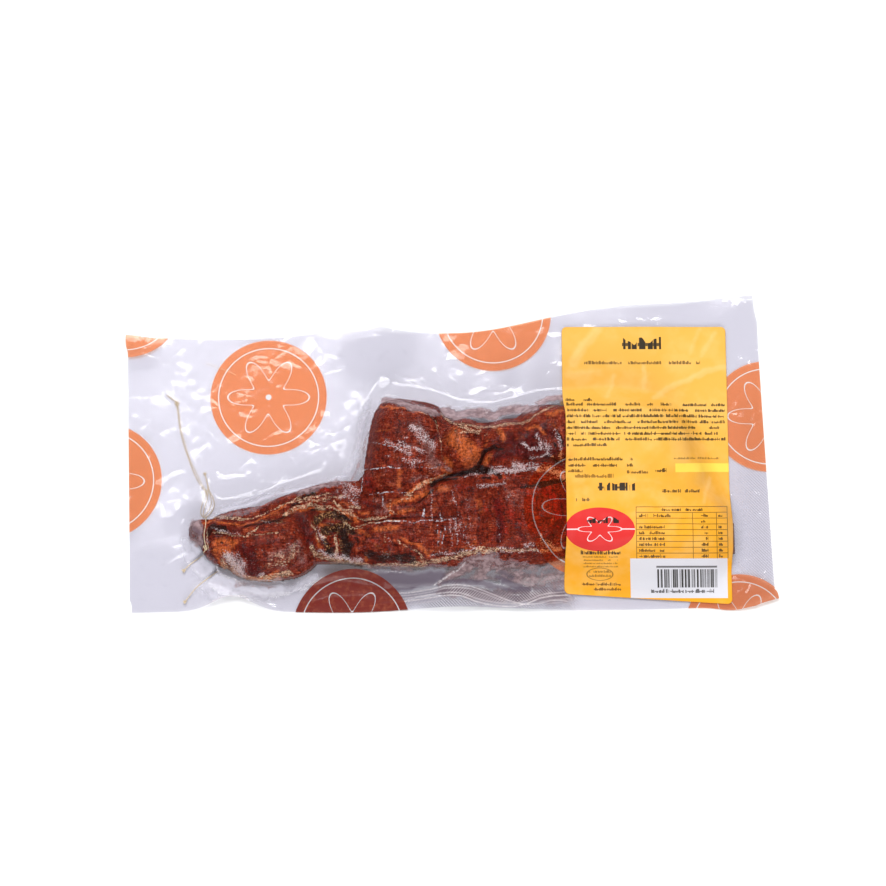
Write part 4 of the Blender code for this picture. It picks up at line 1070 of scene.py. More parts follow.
class MeatSettings(bpy.types.PropertyGroup):
    shade: colour_property("Shade", "Darkest parts of the lean", (0.05, 0.004, 0.002))
    lean: colour_property("Lean", "Dark red-brown roasted lean", (0.155, 0.015, 0.005))
    lean_light: colour_property("Light lean", "Lighter streaks in the lean", (0.35, 0.066, 0.026))
    amber: colour_property("Glaze", "Orange-brown glaze", (0.47, 0.098, 0.024))
    red: colour_property("Red", "Red marinade", (0.28, 0.014, 0.007))
    # Dark juice, and painted shade in the meat's crevices
    dark: colour_property("Dark", "Dark juice in creases", (0.013, 0.003, 0.002))
    maroon: colour_property("Maroon", "Deep red where the film lies tight", (0.06, 0.003, 0.003))
    char: colour_property("Char", "Burnt crust", (0.022, 0.008, 0.004))
    ochre: colour_property("Ochre", "Flecks in the burnt crust", (0.4, 0.2, 0.08))
    fat: colour_property("Fat", "Fat along the edges", (0.58, 0.4, 0.25))
    grey: colour_property("Grey", "Thin frost over the lean", (0.22, 0.12, 0.105))
    frost: colour_property("Frost", "Ice crystals", (0.7, 0.58, 0.57))


class PouchSettings(bpy.types.PropertyGroup):
    tint: colour_property("Front film", "What the clear front film lets through", (0.97, 0.967, 0.99))
    back_tint: colour_property("Back film", "What the milky back film lets through", (0.82, 0.81, 0.85))
    ink: colour_property("Print", "Printed discs", (1.0, 0.3, 0.12))
    # Print with painted shadow behind it
    shadowed_ink: colour_property("Print over dark", "Discs with shadow behind them", (0.16, 0.011, 0.006))
    ink_tint: colour_property("Print tint", "What the print lets through", (1.0, 0.6, 0.38))
    line: colour_property("Print lines", "White lines in the printed discs", (0.95, 0.93, 0.93))
    haze: colour_property("Haze", "Thin frost between the films", (0.39, 0.268, 0.28))
    stain: colour_property("Stain", "Frozen juice between the films", (0.19, 0.11, 0.115))
    # Painted shade where the film spans in front of the meat
    shade: colour_property("Shade", "Hollow film in front of the meat", (0.105, 0.074, 0.108))
    # Milky frost, and painted light where the meat's shadow falls on the film
    milky: colour_property("Milky", "Film that frost makes milky", (0.66, 0.64, 0.73))
    # White ice, and the painted highlights along the film's creases and embossed lines
    ice: colour_property("Ice", "White ice lines", (0.8, 0.72, 0.74))
    # Painted shade in the films' embossed lines
    emboss: colour_property("Emboss", "Fine embossed lines in the films", (0.08, 0.055, 0.08))
    roughness: bpy.props.FloatProperty(name="Film roughness", description="How blurred its reflections are",
                                       default=0.12, min=0, max=1, subtype="FACTOR")


class StringSettings(bpy.types.PropertyGroup):
    pale: colour_property("String", "Hanging string", (0.8, 0.64, 0.42))
    # A darker copy of the string's colour: painted shade between its plies, scattered by noise
    dark: colour_property("Darker string", "Darker places in the string", (0.56, 0.448, 0.294))
    radius: length_property("Radius", "Radius of the string", STRING_RADIUS * MM)


class LabelSettings(bpy.types.PropertyGroup):
    paper: colour_property("Paper", "Yellow label paper", (0.83, 0.44, 0.068))
    paper_low: colour_property("Lower paper", "Deeper yellow at the label's front", (0.88, 0.385, 0.014))
    worn: colour_property("Worn paper", "Paler places in the paper", (0.92, 0.52, 0.14))
    # A painted highlight along the label's folds
    fold_highlight: colour_property("Fold", "Pale paper along the folds", (0.98, 0.72, 0.36))
    bright: colour_property("Bright field", "Brighter yellow bar", (0.98, 0.68, 0.09))
    blank: colour_property("Blank field", "White field round the bars", (0.71, 0.7, 0.75))
    oval: colour_property("Oval", "Red oval", (0.7, 0.03, 0.028))
    curves: colour_property("Curves", "Pale curves in the red oval", (0.9, 0.75, 0.75))
    ink: colour_property("Ink", "Black print", (0.012, 0.009, 0.006))
    thickness: length_property("Thickness", "Thickness of the label paper", 0.25 * MM)


class StageSettings(bpy.types.PropertyGroup):
    elevation: bpy.props.FloatProperty(name="Camera elevation", description="How steeply it looks down",
                                       default=math.radians(79), subtype="ANGLE")
    distance: length_property("Camera distance", "From the camera to the pack", 1.1)
    key: power_property("Key light", "Power of the main softbox", 20)
    front: power_property("Front light", "Power of the softbox in front", 15)
    sheen: power_property("Sheen light", "Power of the narrow light that the film mirrors", 2.5)
    fill: bpy.props.FloatProperty(name="Fill light", description="Brightness of the surroundings",
                                  default=0.45, min=0)
    surroundings: colour_property("Surroundings", "Colour of the light from all round", (0.96, 0.98, 1.0))
    floor: colour_property("Floor", "White floor under the pack", (0.9, 0.9, 0.9))


def meat_material(look):
    g = Graph("roast_meat")
    place = g.plan()
    amber, red, dark, grey = g.masks("tones")
    char, fat, frost, maroon = g.masks("crust")
    broad, fleck = g.noise(place, 4.5, 5, 0.75), g.noise(place, 1.0, 3, 0.7)
    fibre, speck = g.stretched_noise(place, (5, 0.55, 2), 3), g.noise(place, 0.6, 2, 0.6)
    uneven = broad * 0.45 + fleck * 0.25 + fibre * 0.3
    rough = (uneven - 0.5) * 3.6

    def patchy(layer, soft):
        return (layer + rough).step(0.42, 0.42 + soft)

    colour = g.mix(uneven.step(0.4, 0.49), look.shade, look.lean)
    colour = g.mix(uneven.step(0.5, 0.61), colour, look.lean_light)
    colour = g.mix(patchy(maroon, 0.5) * 0.9, colour, look.maroon)
    colour = g.mix(patchy(red, 0.6) * 0.8, colour, look.red)
    colour = g.mix((amber + rough * 0.55).step(0.25, 1.05) * 0.92, colour, look.amber)
    colour = g.mix(g.noise(place, 1.5, 4, 0.7).step(0.53, 0.64) * 0.7, colour, look.shade)
    colour = g.mix(patchy(grey, 0.7) * 0.6, colour, look.grey)
    burnt = g.mix(fleck.step(0.54, 0.62), look.char, look.ochre)
    colour = g.mix(patchy(char, 0.3) * 0.92, colour, burnt)
    # Dark juice, and painted shade along the crevices
    colour = g.mix(patchy(dark, 0.4) * 0.92, colour, look.dark)
    grainy = (speck * 0.5 + fleck * 0.5).step(0.43, 0.57)
    colour = g.mix(patchy(fat, 0.4) * grainy * 0.9, colour, look.fat)
    icy = frost * 0.42 + grey * 0.12 + (speck - 0.5) * 1.5 + (broad - 0.5) * 0.8
    crystals = (icy - 0.26).step(0, 0.3) * 0.78
    # Upright streaks lighten the lean: frost, and a painted sheen of the film's upright wrinkles
    streaks = g.stretched_noise(place, (1.6, 6, 3), 3).step(0.36, 0.64)
    light = g.noise(place, 1.1, 3, 0.8).step(0.34, 0.66) * 0.95 + streaks * 0.5 + 0.26
    colour = g.vector("MULTIPLY", colour, light)
    colour = g.mix(crystals, colour, look.frost)
    relief = g.bump(fibre * 0.5 + fleck * 0.35 + speck * 0.2)
    return g.finish(g.surface(colour, crystals * 0.3 + 0.5, relief, specular=0.05))


def rosette(across, along, radius, middle, swing, width):
    """The outline of a plain flower round the middle of a disc, from coordinates in the disc."""
    petals = (along.math("ARCTAN2", across) * PETALS).math("COSINE") * swing + middle
    return (radius - petals).math("ABSOLUTE") < width


def print_masks(g, place):
    """Where the printed discs are, the white lines of the rosette in each, and how much painted shadow lies
    behind them.
    """
    x, y, _ = g.parts(place)
    inside, across, along, behind = 0, 0, 0, 0
    for cx, cy, radius, dark in DISCS:
        a, b = (x - cx) / radius, (y - cy) / radius
        disc = (a * a + b * b) < 1
        inside, across, along = disc + inside, disc * a + across, disc * b + along
        # Painted shadow behind this disc
        behind = disc * dark + behind if dark else behind
    radius = (across * across + along * along).math("SQRT")
    ring = (radius - DISC_RING).math("ABSOLUTE") < 0.009
    lines = rosette(across, along, radius, 0.5, 0.2, 0.012).larger(ring).larger(radius < DISC_MIDDLE)
    return inside, lines * inside, behind


def embossed_lines(across):
    """Fine lines pressed into a film, as a wave from -1 to 1 along this measure."""
    return (across * (2 * math.pi / EMBOSS_PITCH)).math("SINE")


def hatch_masks(x, y, hatched):
    """Painted shade and highlights that show the front film's embossed lines, which slant two ways."""
    left = embossed_lines(x - y).step(-0.2, 0.5) * (EMBOSS_TURN + EMBOSS_OVERLAP - x).step(0, 8)
    right = embossed_lines(x + y).step(-0.2, 0.5) * (x - EMBOSS_TURN).step(0, 8)
    shaded_grooves = left.larger(right)
    return shaded_grooves * hatched * 0.85, (1 - shaded_grooves) * hatched * 0.5


def seam_mask(beside):
    """The white seams, from the stored distances to their routes."""
    seams = 0
    for away, (_, lines) in zip(beside, SEAMS):
        for place_behind, strength in lines:
            near = (away * SEAM_REACH - (SEAM_REACH / 2 + place_behind)).math("ABSOLUTE")
            seams = ((SEAM_WIDTH - near).step(0, 0.3) * strength).larger(seams)
    return seams


def loose_film_normal(g, place, hug):
    """Crumpled relief where the film is loose, and the meat's grain where it hugs the meat."""
    swirl = g.node("ShaderNodeTexNoise", {"Vector": place, "Scale": 1 / 25}, "Color")
    bent = g.vector("MULTIPLY_ADD", swirl, (9, 9, 0), place)
    crumple = g.crumple(bent, 17) * 1.5 + g.crumple(bent, 7) * 0.5
    crumple = crumple * g.noise(place, 30, 2).step(0.4, 0.62) * (1 - hug)
    return g.bump(crumple + g.noise(place, 2.0, 2) * 0.04 + hug * g.noise(place, 0.9, 3, 0.6) * 0.09)


def printed_film_material(look):
    g = Graph("printed_film")
    place = g.plan()
    x, y, _ = g.parts(place)
    haze, frost, hug, shade = g.masks("cover")
    pale, hatched, *beside = g.masks("film_marks")
    mottle, speck = g.noise(place, 3.6, 5, 0.65), g.noise(place, 0.8, 2, 0.6)
    hatch_shade, rib_highlights = hatch_masks(x, y, hatched)

    # What lies between the films: frozen juice, frost, ice lines, painted shade in the hollow, painted light
    # over the meat's shadow, and painted shade and highlights on the creases and embossed lines
    veil = (haze * 1.35 + (mottle - 0.5) * 1.7 - 0.42).step(-0.15, 0.9) * 0.88
    # Painted shade in the hollow in front of the meat
    shaded = (shade + (mottle - 0.5) * 0.35).step(0.02, 1) * 0.93
    # Milky frost, and painted light over the meat's shadow
    milky = (pale + (mottle - 0.5) * 0.9).step(0, 1.1) * 0.75
    # Ice lines, and painted highlights along the film's creases and ridges
    crystals = (frost * 0.8 + speck * 1.1 - 0.95).step(0, 0.35)
    crystals = crystals.larger(seam_mask(beside) * speck.step(0.2, 0.6)) * 0.75
    filling = g.mix(mottle.step(0.38, 0.64), look.stain, look.haze)
    filling = g.mix(veil.step(0, 0.5), look.milky, filling)
    filling = g.mix(shaded, filling, look.shade)
    # Painted shade and painted highlights on the embossed lines
    filling = g.mix(rib_highlights, g.mix(hatch_shade, filling, look.emboss), look.ice)
    filling = g.mix(crystals, filling, look.ice)
    filled = 1 - (1 - veil.larger(shaded).larger(milky)) * (1 - hatch_shade.larger(rib_highlights))
    filled = filled.larger(crystals)

    # The print over it, which light passes through twice
    disc, lines, behind = print_masks(g, place)
    ink = disc - lines
    seen_through = g.vector("MULTIPLY", filling, tuple(part * part for part in look.ink_tint))
    filling = g.mix(ink, filling, seen_through)
    # Painted shadow behind the print, mottled
    print_shadow = behind * (mottle - 0.5) * 0.6 + behind
    inked = ink * (print_shadow * 0.6 + 0.3 - hug * 0.285) + lines * (0.5 - hug * 0.35 - behind * 0.2)
    cover = 1 - (1 - filled) * (1 - inked)
    printed = g.mix(lines, g.mix(print_shadow, look.ink, look.shadowed_ink), look.line)
    body = g.mix(inked / cover.larger(0.01), filling, printed)

    normal = loose_film_normal(g, place, hug)
    clear = g.mix_shaders(ink, g.clear_film(look.tint), g.clear_film(look.ink_tint))
    film = g.mix_shaders(cover, clear, g.surface(body, 0.5, normal, specular=0.2))
    dulled = (1 - hug * 1.6).larger(0.05) * (1 - cover * 0.75)
    return g.finish(g.glossed(film, normal, look.roughness, dulled))


def embossed_film_material(look):
    g = Graph("embossed_film")
    x, y, _ = g.parts(g.plan())
    wave = embossed_lines(x + y)
    normal = g.bump(wave * 0.03)
    # Painted shade in the embossed lines, where they show
    lines = wave.step(-0.2, 0.8) * (g.masks("emboss")[0] * 0.5 + 0.02)
    groove_shade = g.node("ShaderNodeBsdfDiffuse", {"Color": look.emboss, "Normal": normal})
    film = g.mix_shaders(lines, g.clear_film(look.back_tint), groove_shade)
    return g.finish(g.glossed(film, normal, look.roughness))


def string_material(look):
    g = Graph("hanging_string")
    place = g.plan()
    # Painted shade between the plies, scattered by noise
    colour = g.mix(g.noise(place, 0.6, 3).step(0.35, 0.65), look.pale, look.dark)
    return g.finish(g.surface(colour, 0.75, g.bump(g.noise(place, 0.25, 2) * 0.1)))


# The label's greeked print, in millimetres from its left and back edges:
# left, right, top, rows, pitch, height of a row, strength
LABEL_LINES = [
    (31.8, 52, 5.9, 1, 7.2, 6.6, 1), (12, 72, 18.6, 1, 2.2, 1.9, 0.75), (2.2, 15.8, 38.6, 1, 2, 1.7, 0.95),
    (2.5, 84.2, 41, 7, 3, 1.7, 0.9), (2.5, 23.2, 62, 1, 2.2, 1.7, 0.85),
    (3.1, 36.4, 69.2, 2, 3.2, 1.8, 0.85), (3.1, 10.7, 75.5, 1, 2.2, 1.7, 0.8),
    (6.6, 28.1, 77.9, 1, 2.6, 2.2, 0.65), (33.3, 45.1, 76, 1, 2.2, 1.8, 0.8),
    (47.7, 54.3, 75, 1, 2.4, 2.1, 0.9), (56.5, 80.6, 69.4, 1, 2, 1.1, 0.6),
    (18.3, 37.3, 82.8, 1, 4.4, 4.1, 1), (51, 70, 86.2, 1, 2, 1.8, 0.85), (7, 14.1, 90.6, 1, 2.2, 1.8, 0.85),
    (12.5, 28.8, 100.4, 1, 3.4, 3.2, 1), (9.2, 29.6, 117.2, 1, 2.4, 2.1, 0.95),
    (10.2, 27.9, 120, 4, 1.67, 0.9, 0.6), (13.1, 24.3, 127.4, 2, 2.2, 1.3, 0.6),
    (8, 29.3, 133.8, 2, 2.7, 1.7, 0.8), (44.5, 76.4, 137.3, 1, 2.4, 2.1, 0.85),
    (50.3, 71.3, 95.8, 1, 2, 1.6, 0.9), (38.9, 55.2, 98.7, 1, 3, 1.8, 0.85),
    (38.9, 52, 104.6, 6, 2.93, 1.7, 0.85), (70.5, 74, 98.7, 8, 2.93, 1.7, 0.85),
    (79.1, 81.2, 98.7, 8, 2.93, 1.7, 0.85),
]
TABLE_LEFT, TABLE_RIGHT, TABLE_TOP, TABLE_FRONT, TABLE_PITCH = 37.4, 83.9, 95, 121.4, 2.93
TABLE_COLUMNS = (66.1, 78.1)
RULE = 0.35             # width of an upright rule
# Fields: left, right, top, front
STRIPES = (47.4, 78.1, 126.9, 136.6)
STRIPES_RULE = (47.4, 78.1, 125.1, 126.1)
BLANK_FIELD = (34.2, 83.4, 121.3, LABEL_LENGTH)
BRIGHT_BAR = (57.9, 86, 72.6, 77.1)
# Ovals: centre, then half width and half height
OVAL = (19.0, 106.6, 17.9, 11.1)
STAMP = (18.7, 129.5, 6.9, 3.4)
# The print was measured in the photograph, from this point above the plan, with its own zero here
PRINT_VIEW = (-4.0, -205.9, 1079.8)
PRINT_ORIGIN = (57.0, 65.9)


def inside_box(u, v, left, right, top, front):
    return (u > left) * (u < right) * (v > top) * (v < front)


def oval_radius(u, v, oval):
    """Coordinates in an oval of this centre and half size, and the distance from its middle."""
    a, b = (u - oval[0]) / oval[2], (v - oval[1]) / oval[3]
    return a, b, (a * a + b * b).math("SQRT")


def greeked(g, u, v):
    """Rows of short dashes that stand for the label's print."""
    inked, along, row, tall = 0, 0, 0, 0
    for number, (left, right, top, rows, pitch, height, strength) in enumerate(LABEL_LINES):
        down = (v - top) / pitch
        inside = inside_box(u, v, left, right, top, top + rows * pitch)
        inked = inside * (down.math("FRACT") < height / pitch) * strength + inked
        along = inside * (u / height) + along
        row = inside * (down.math("FLOOR") + number * 7.3) + row
        tall = inside * (down.math("FRACT") * (pitch / height)) + tall

    def across_row(pitch, shift):
        return g.noise(g.node("ShaderNodeCombineXYZ", {0: along * pitch, 1: row * 3.7 + shift}), 1, 0)

    stems = across_row(3.2, 0).step(0.4, 0.48) * (tall > across_row(1.6, 11.3) * 1.6 - 0.55)
    bars = ((tall - 0.62).math("ABSOLUTE") < 0.13) * (across_row(1.3, 5.1) > 0.42)
    return inked * stems.larger(bars * 0.9) * across_row(0.3, 23.7).step(0.33, 0.36)


def table_rules(u, v):
    """The empty table's rules: its rows, its sides and its columns."""
    rules = ((v - TABLE_TOP) / TABLE_PITCH).math("FRACT") < 0.12
    sides = [(place, TABLE_TOP) for place in (TABLE_LEFT, TABLE_RIGHT - RULE)]
    for place, top in sides + [(place, TABLE_TOP + TABLE_PITCH) for place in TABLE_COLUMNS]:
        rules = rules.larger(inside_box(u, v, place, place + RULE, top, TABLE_FRONT))
    return rules * inside_box(u, v, TABLE_LEFT, TABLE_RIGHT, TABLE_TOP, TABLE_FRONT)


def label_material(look):
    g = Graph("label_paper")
    paper = g.node("ShaderNodeUVMap", {}, uv_map="paper")
    u, v, _ = g.parts(paper)
    stripes = g.noise(g.vector("MULTIPLY", paper, (1.15, 0, 0)), 1, 2).step(0.47, 0.52)
    stripes = (inside_box(u, v, *STRIPES) * stripes).larger(inside_box(u, v, *STRIPES_RULE) * 0.8)
    print_ink = greeked(g, u, v).larger(table_rules(u, v) * 0.75).larger(stripes)
    a, b, radius = oval_radius(u, v, OVAL)
    band = (b.math("ABSOLUTE") < 0.03) * (a.math("ABSOLUTE") > 0.62)
    curves = rosette(a, b, radius, 0.45, 0.17, 0.024).larger(band)
    ring = (oval_radius(u, v, STAMP)[2] - 0.95).math("ABSOLUTE") < 0.05
    place = g.plan()
    # Painted highlight along the label's folds
    folded = (g.masks("folds")[0] + g.noise(place, 3, 3) * 0.6 - 0.3).step(0.1, 1)
    colour = g.mix((v / LABEL_LENGTH).step(0.3, 0.9), look.paper, look.paper_low)
    colour = g.mix(g.noise(place, 14, 3).step(0.4, 0.7) * 0.5, colour, look.worn)
    colour = g.mix(folded * 0.22, colour, look.fold_highlight)
    colour = g.mix(inside_box(u, v, *BRIGHT_BAR), colour, look.bright)
    colour = g.mix(inside_box(u, v, *BLANK_FIELD), colour, look.blank)
    colour = g.mix(radius < 1, colour, look.oval)
    colour = g.mix(curves * (radius < 1) * 0.85, colour, look.curves)
    colour = g.mix((ring * 0.6).larger(print_ink) * 0.98, colour, look.ink)
    return g.finish(g.surface(colour, 0.5, g.bump(g.noise(place, 0.5, 2) * 0.02), specular=0.2))


def floor_material(look):
    g = Graph("white_floor")
    return g.finish(g.surface(look.floor, 0.8))


class PORK_OT_meat(bpy.types.Operator):
    """Build the roast meat as one closed solid with its relief and colours"""
    bl_idname = "pork.meat"
    bl_label = "Meat"

    def execute(self, context):
        x, y = plan_mesh(FINE)
        hidden = round((HIDDEN_FROM - PLAN_LEFT) / FINE)
        kept = np.concatenate([np.arange(hidden), np.arange(hidden, x.shape[0], HIDDEN_STEP)])
        x, y, height = x[kept], y[kept], maps()["meat"].values[kept]
        inside = height > MEAT_FLOOR
        near = spread(inside, 1)
        height = np.where(inside, height, MEAT_FLOOR)
        faces = grid_faces(*x.shape)
        faces = faces[near.ravel()[faces].all(axis=1)]
        used, faces = np.unique(faces, return_inverse=True)
        points = np.stack([x, y, height], axis=-1).reshape(-1, 3)[used]
        material = meat_material(context.scene.pork_meat)
        piece = add_piece("meat", points, faces.reshape(-1, 4), material, ["bag"])
        mesh = bmesh.new()
        mesh.from_mesh(piece.data)
        bmesh.ops.holes_fill(mesh, edges=[e for e in mesh.edges if e.is_boundary], sides=0)
        bmesh.ops.recalc_face_normals(mesh, faces=mesh.faces)
        mesh.to_mesh(piece.data)
        mesh.free()
        x, y = points[:, 0], points[:, 1]
        layer = {name: painted(strokes, x, y) for name, strokes in PAINT.items()}
        add_masks(piece, "tones", [layer["amber"], layer["red"], layer["dark"], layer["grey"]])
        add_masks(piece, "crust", [layer["char"], layer["fat"], layer["frost"], layer["maroon"]])
        return {"FINISHED"}


class PORK_OT_front_film(bpy.types.Operator):
    """Draw the clear printed front film over the meat"""
    bl_idname = "pork.front_film"
    bl_label = "Front film"

    def execute(self, context):
        x, y = plan_grid((300, 36, 34), (10, 190, 14))
        film, meat = maps()["film"].at(x, y), maps()["meat"].at(x, y)
        points = np.stack([x, y, film], axis=-1).reshape(-1, 3)
        material = printed_film_material(context.scene.pork_pouch)
        piece = add_piece("front_film", points, grid_faces(*x.shape), material, ["bag"])
        hug = (meat > 3) * (1 - 0.4 * smooth_step(film - meat, 0.6, 2.5))
        # No frost lies where the string presses on the film
        near = np.min([route_distance(x, y, route) for _, route in STRINGS.values()], axis=0)
        free = 1 - np.exp(-((near / STRING_CLEAR) ** 2))
        # The cover's last channel is painted shade in the hollow in front of the meat
        layers = (painted(HAZE, x, y) * free, painted(ICE_AND_GLINT_LINES, x, y), hug, painted(SHADE, x, y))
        add_masks(piece, "cover", [layer.ravel() for layer in layers])
        beside = [np.clip(0.5 + (y - np.interp(x, *zip(*route))) / SEAM_REACH, 0, 1) for route, _ in SEAMS]
        # Its first channel is milky frost and painted light over the meat's shadow
        layers = (painted(PALE, x, y) * free, painted(HATCH, x, y), *beside)
        add_masks(piece, "film_marks", [layer.ravel() for layer in layers])
        return {"FINISHED"}


class PORK_OT_back_film(bpy.types.Operator):
    """Lay the embossed back film under the meat"""
    bl_idname = "pork.back_film"
    bl_label = "Back film"

    def execute(self, context):
        x, y = plan_grid((110, 40, 12), (4, 68, 6))
        points = np.stack([x, y, maps()["back"].at(x, y) + BACK_FILM_LIFT], axis=-1).reshape(-1, 3)
        faces = grid_faces(*x.shape)[:, ::-1]
        material = embossed_film_material(context.scene.pork_pouch)
        piece = add_piece("back_film", points, faces, material, ["bag"])
        add_masks(piece, "emboss", [painted(EMBOSS, x, y).ravel()])
        return {"FINISHED"}


def smooth_route(points, step):
    """Points evenly along a smooth curve through the given ones."""
    points = np.asarray(points, dtype=float)
    padded = np.vstack([2 * points[0] - points[1], points, 2 * points[-1] - points[-2]])
    route = []
    for p0, p1, p2, p3 in zip(padded, padded[1:], padded[2:], padded[3:]):
        count = max(2, round(math.dist(p1, p2) / step))
        for t in np.arange(count) / count:
            bend = (2 * p0 - 5 * p1 + 4 * p2 - p3) * t**2 + (3 * p1 - p0 - 3 * p2 + p3) * t**3
            route.append(0.5 * (2 * p1 + (p2 - p0) * t + bend))
    return np.array(route + [points[-1]])


def twisted_tube(route, radius, sides=8, lay=1.6):
    """A two-ply string along a route: an oval section that turns once in this many millimetres."""
    ahead = np.gradient(route, axis=0)
    ahead /= np.linalg.norm(ahead, axis=1)[:, None]
    side = np.cross(ahead, [0, 0, 1.0])
    side /= np.linalg.norm(side, axis=1)[:, None] + 1e-9
    up = np.cross(side, ahead)
    travelled = np.concatenate([[0], np.cumsum(np.linalg.norm(np.diff(route, axis=0), axis=1))])
    theta = np.arange(sides) / sides * 2 * np.pi
    turn = 2 * np.pi * travelled[:, None] / lay
    reach = radius * (0.82 + 0.18 * np.cos(2 * (theta[None, :] - turn)))
    sideways = side[:, None] * (reach * np.cos(theta))[..., None]
    upwards = up[:, None] * (reach * np.sin(theta))[..., None]
    rings = np.arange(len(route) * sides).reshape(-1, sides)
    turned = np.roll(rings, -1, 1)
    faces = np.stack([rings[:-1], rings[1:], turned[1:], turned[:-1]], axis=-1).reshape(-1, 4)
    caps = [rings[0].tolist(), rings[-1][::-1].tolist()]
    return (route[:, None] + sideways + upwards).reshape(-1, 3), faces.tolist() + caps


def joined(parts):
    """One list of points and one of faces from several."""
    points, faces = [], []
    for more_points, more_faces in parts:
        faces += [[index + len(points) for index in face] for face in more_faces]
        points += [tuple(point) for point in more_points]
    return points, faces


def knot_route(x, y, size):
    """A small overhand knot, in plan with its rise and fall."""
    t = np.linspace(0, 2 * np.pi, 60)
    knot_x = x + size * (np.sin(t) + 2 * np.sin(2 * t)) / 3
    knot_y = y + size * (np.cos(t) - 2 * np.cos(2 * t)) / 3
    return np.stack([knot_x, knot_y, -size * np.sin(3 * t) / 4], axis=-1)


def string_bed(x, y):
    """Height of what the string lies on, between the films."""
    return np.maximum(maps()["back"].at(x, y) + 0.1, maps()["meat"].at(x, y))


class PORK_OT_string(bpy.types.Operator):
    """Lay the hanging string, its knots and its cut ends between the films"""
    bl_idname = "pork.string"
    bl_label = "String"

    def execute(self, context):
        look = context.scene.pork_string
        radius = look.radius / MM
        parts = []
        for thickness, route in STRINGS.values():
            plan = smooth_route(route, 0.3)
            rest = string_bed(plan[:, 0], plan[:, 1]) + radius * thickness
            parts.append(twisted_tube(np.column_stack([plan, rest]), radius * thickness))
        for x, y, size in KNOTS:
            knot = knot_route(x, y, size)
            knot[:, 2] += string_bed(np.array([x]), np.array([y])) + radius + size / 4
            parts.append(twisted_tube(knot, radius * 0.9))
        points, faces = joined(parts)
        add_piece("string", points, faces, string_material(look), ["bag"])
        return {"FINISHED"}


def closer_at_ends(count):
    """Shares from 0 to 1 that lie closer together near both ends."""
    share = np.linspace(0, 1, count)
    return 0.5 * share + 0.25 * (1 - np.cos(np.pi * share))


def label_plan(columns, rows):
    """Plan x and y of the label's grid, with the points in a corner's square moved onto its arc."""
    u, v = np.meshgrid(closer_at_ends(columns), closer_at_ends(rows), indexing="ij")
    x = LABEL_LEFT + (LABEL_RIGHT - LABEL_LEFT) * u
    y = label_front(x) + (LABEL_BACK - label_front(x)) * v
    for side_x, inward in ((LABEL_LEFT, 1), (LABEL_RIGHT, -1)):
        for side_y, upward in ((label_front(np.array(side_x)), 1), (LABEL_BACK, -1)):
            px = LABEL_CORNER - (x - side_x) * inward
            py = LABEL_CORNER - (y - side_y) * upward
            corner = (px > 0) & (py > 0)
            shrink = np.where(corner, np.maximum(px, py) / np.maximum(np.hypot(px, py), 1e-6), 1)
            x = np.where(corner, side_x + inward * (LABEL_CORNER - px * shrink), x)
            y = np.where(corner, side_y + upward * (LABEL_CORNER - py * shrink), y)
    return x, y


def sheet_faces(columns, rows):
    """Faces of a sheet with its top grid's points first and its underside's after them."""
    top = grid_faces(columns, rows)
    count = columns * rows
    index = np.arange(count).reshape(columns, rows)
    rim = np.concatenate([index[:-1, 0], index[-1, :-1], index[:0:-1, -1], index[0, :0:-1]])
    after = np.roll(rim, -1)
    sides = np.stack([rim, rim + count, after + count, after], axis=-1)
    return np.concatenate([top, top[:, ::-1] + count, sides])


def add_print_places(piece, x, y, height):
    """Stores where each point of the label lies in its print, as the print was seen from PRINT_VIEW."""
    view_x, view_y, view_z = PRINT_VIEW
    share = height / (view_z - height)
    across = x + (x - view_x) * share - PRINT_ORIGIN[0]
    down = PRINT_ORIGIN[1] - y - (y - view_y) * share
    paper = np.stack([across, down], axis=-1).reshape(-1, 2)
    layer = piece.data.uv_layers.new(name="paper")
    corners = np.array([loop.vertex_index for loop in piece.data.loops]) % x.size
    layer.data.foreach_set("uv", paper[corners].ravel())


class PORK_OT_label(bpy.types.Operator):
    """Stick the creased paper label across the front film"""
    bl_idname = "pork.label"
    bl_label = "Label"

    def execute(self, context):
        look = context.scene.pork_label
        x, y = label_plan(90, 140)
        under = maps()["label"]
        height = np.maximum(under.at(x, y), maps()["film"].at(x, y))
        slope_x = (under.at(x + 1, y) - under.at(x - 1, y)) / 2
        slope_y = (under.at(x, y + 1) - under.at(x, y - 1)) / 2
        normal = np.stack([-slope_x, -slope_y, np.ones_like(x)], axis=-1)
        normal /= np.linalg.norm(normal, axis=-1)[..., None]
        base = np.stack([x, y, height], axis=-1)
        low, high = base + normal * LABEL_LIFT, base + normal * (LABEL_LIFT + look.thickness / MM)
        points = np.concatenate([high.reshape(-1, 3), low.reshape(-1, 3)])
        faces = sheet_faces(*x.shape)
        piece = add_piece("label_sheet", points, faces, label_material(look), ["label"])
        # Where the painted highlight along the folds lies
        folds = painted([(points, 1.3 * width, rise / 0.6) for points, rise, width in LABEL_FOLDS], x, y)
        add_masks(piece, "folds", [np.tile(folds.ravel(), 2)])
        add_print_places(piece, x, y, height)
        return {"FINISHED"}


def point_at(thing, place, aim):
    """Puts a camera or lamp at a place and turns it to face the aim."""
    thing.location = place
    thing.rotation_euler = (aim - thing.location).to_track_quat("-Z", "Y").to_euler()


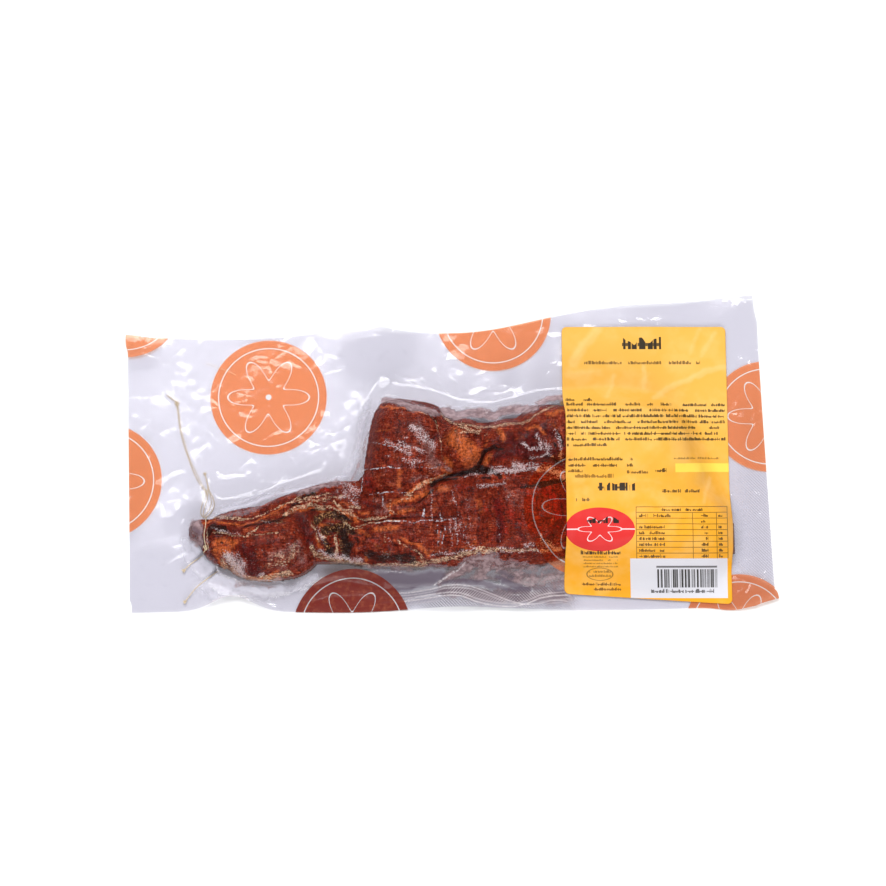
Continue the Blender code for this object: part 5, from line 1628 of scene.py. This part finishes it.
class PORK_OT_stage(bpy.types.Operator):
    """Set up the camera, the softboxes and the white floor"""
    bl_idname = "pork.stage"
    bl_label = "Stage"

    def execute(self, context):
        scene = context.scene
        look = scene.pork_stage
        aim = Vector((*CAMERA_AIM, 0)) * MM + PLAN_ORIGIN
        camera = add_object("camera", bpy.data.cameras.new("camera"))
        camera.data.lens = LENS
        camera.data.sensor_width = SENSOR_WIDTH
        towards_camera = Vector((0, -math.cos(look.elevation), math.sin(look.elevation)))
        point_at(camera, aim + look.distance * towards_camera, aim)
        scene.camera = camera
        for name, (place, size) in SOFTBOXES.items():
            light = bpy.data.lights.new(f"{name}_softbox", "AREA")
            light.shape = "RECTANGLE"
            light.size, light.size_y = size
            light.energy = getattr(look, name)
            point_at(add_object(f"{name}_softbox", light), aim + Vector(place), aim)
        mesh = bpy.data.meshes.new("floor")
        turns = ((-1, -1), (1, -1), (1, 1), (-1, 1))
        corners = [(x * FLOOR_REACH, y * FLOOR_REACH, FLOOR_HEIGHT) for x, y in turns]
        mesh.from_pydata(corners, [], [(0, 1, 2, 3)])
        mesh.materials.append(floor_material(look))
        floor = add_object("floor", mesh)
        scene.world = bpy.data.worlds.new("studio")
        scene.world.use_nodes = True
        inputs = scene.world.node_tree.nodes["Background"].inputs
        inputs["Color"].default_value = (*look.surroundings, 1)
        inputs["Strength"].default_value = look.fill
        scene.view_settings.view_transform = "Standard"
        return {"FINISHED"}


STEPS = ("meat", "front_film", "back_film", "string", "label", "stage")


class PORK_PT_panel(bpy.types.Panel):
    """Lists the steps that build the pack"""
    bl_idname = "PORK_PT_panel"
    bl_label = "Packed pork"
    bl_space_type = "VIEW_3D"
    bl_region_type = "UI"
    bl_category = "Packed pork"

    def draw(self, context):
        for step in STEPS:
            self.layout.operator(f"pork.{step}")
        for name in SETTINGS:
            group = getattr(context.scene, name)
            box = self.layout.box()
            for key in type(group).__annotations__:
                box.prop(group, key)


SETTINGS = {"pork_meat": MeatSettings, "pork_pouch": PouchSettings, "pork_string": StringSettings,
            "pork_label": LabelSettings, "pork_stage": StageSettings}
CLASSES = (*SETTINGS.values(), PORK_OT_meat, PORK_OT_front_film, PORK_OT_back_film, PORK_OT_string,
           PORK_OT_label, PORK_OT_stage, PORK_PT_panel)


def register():
    for each in CLASSES:
        bpy.utils.register_class(each)
    for name, group in SETTINGS.items():
        setattr(bpy.types.Scene, name, bpy.props.PointerProperty(type=group))


def unregister():
    for name in SETTINGS:
        delattr(bpy.types.Scene, name)
    for each in reversed(CLASSES):
        bpy.utils.unregister_class(each)


def main():
    register()
    for step in STEPS:
        getattr(bpy.ops.pork, step)()


if __name__ == "__main__":
    main()
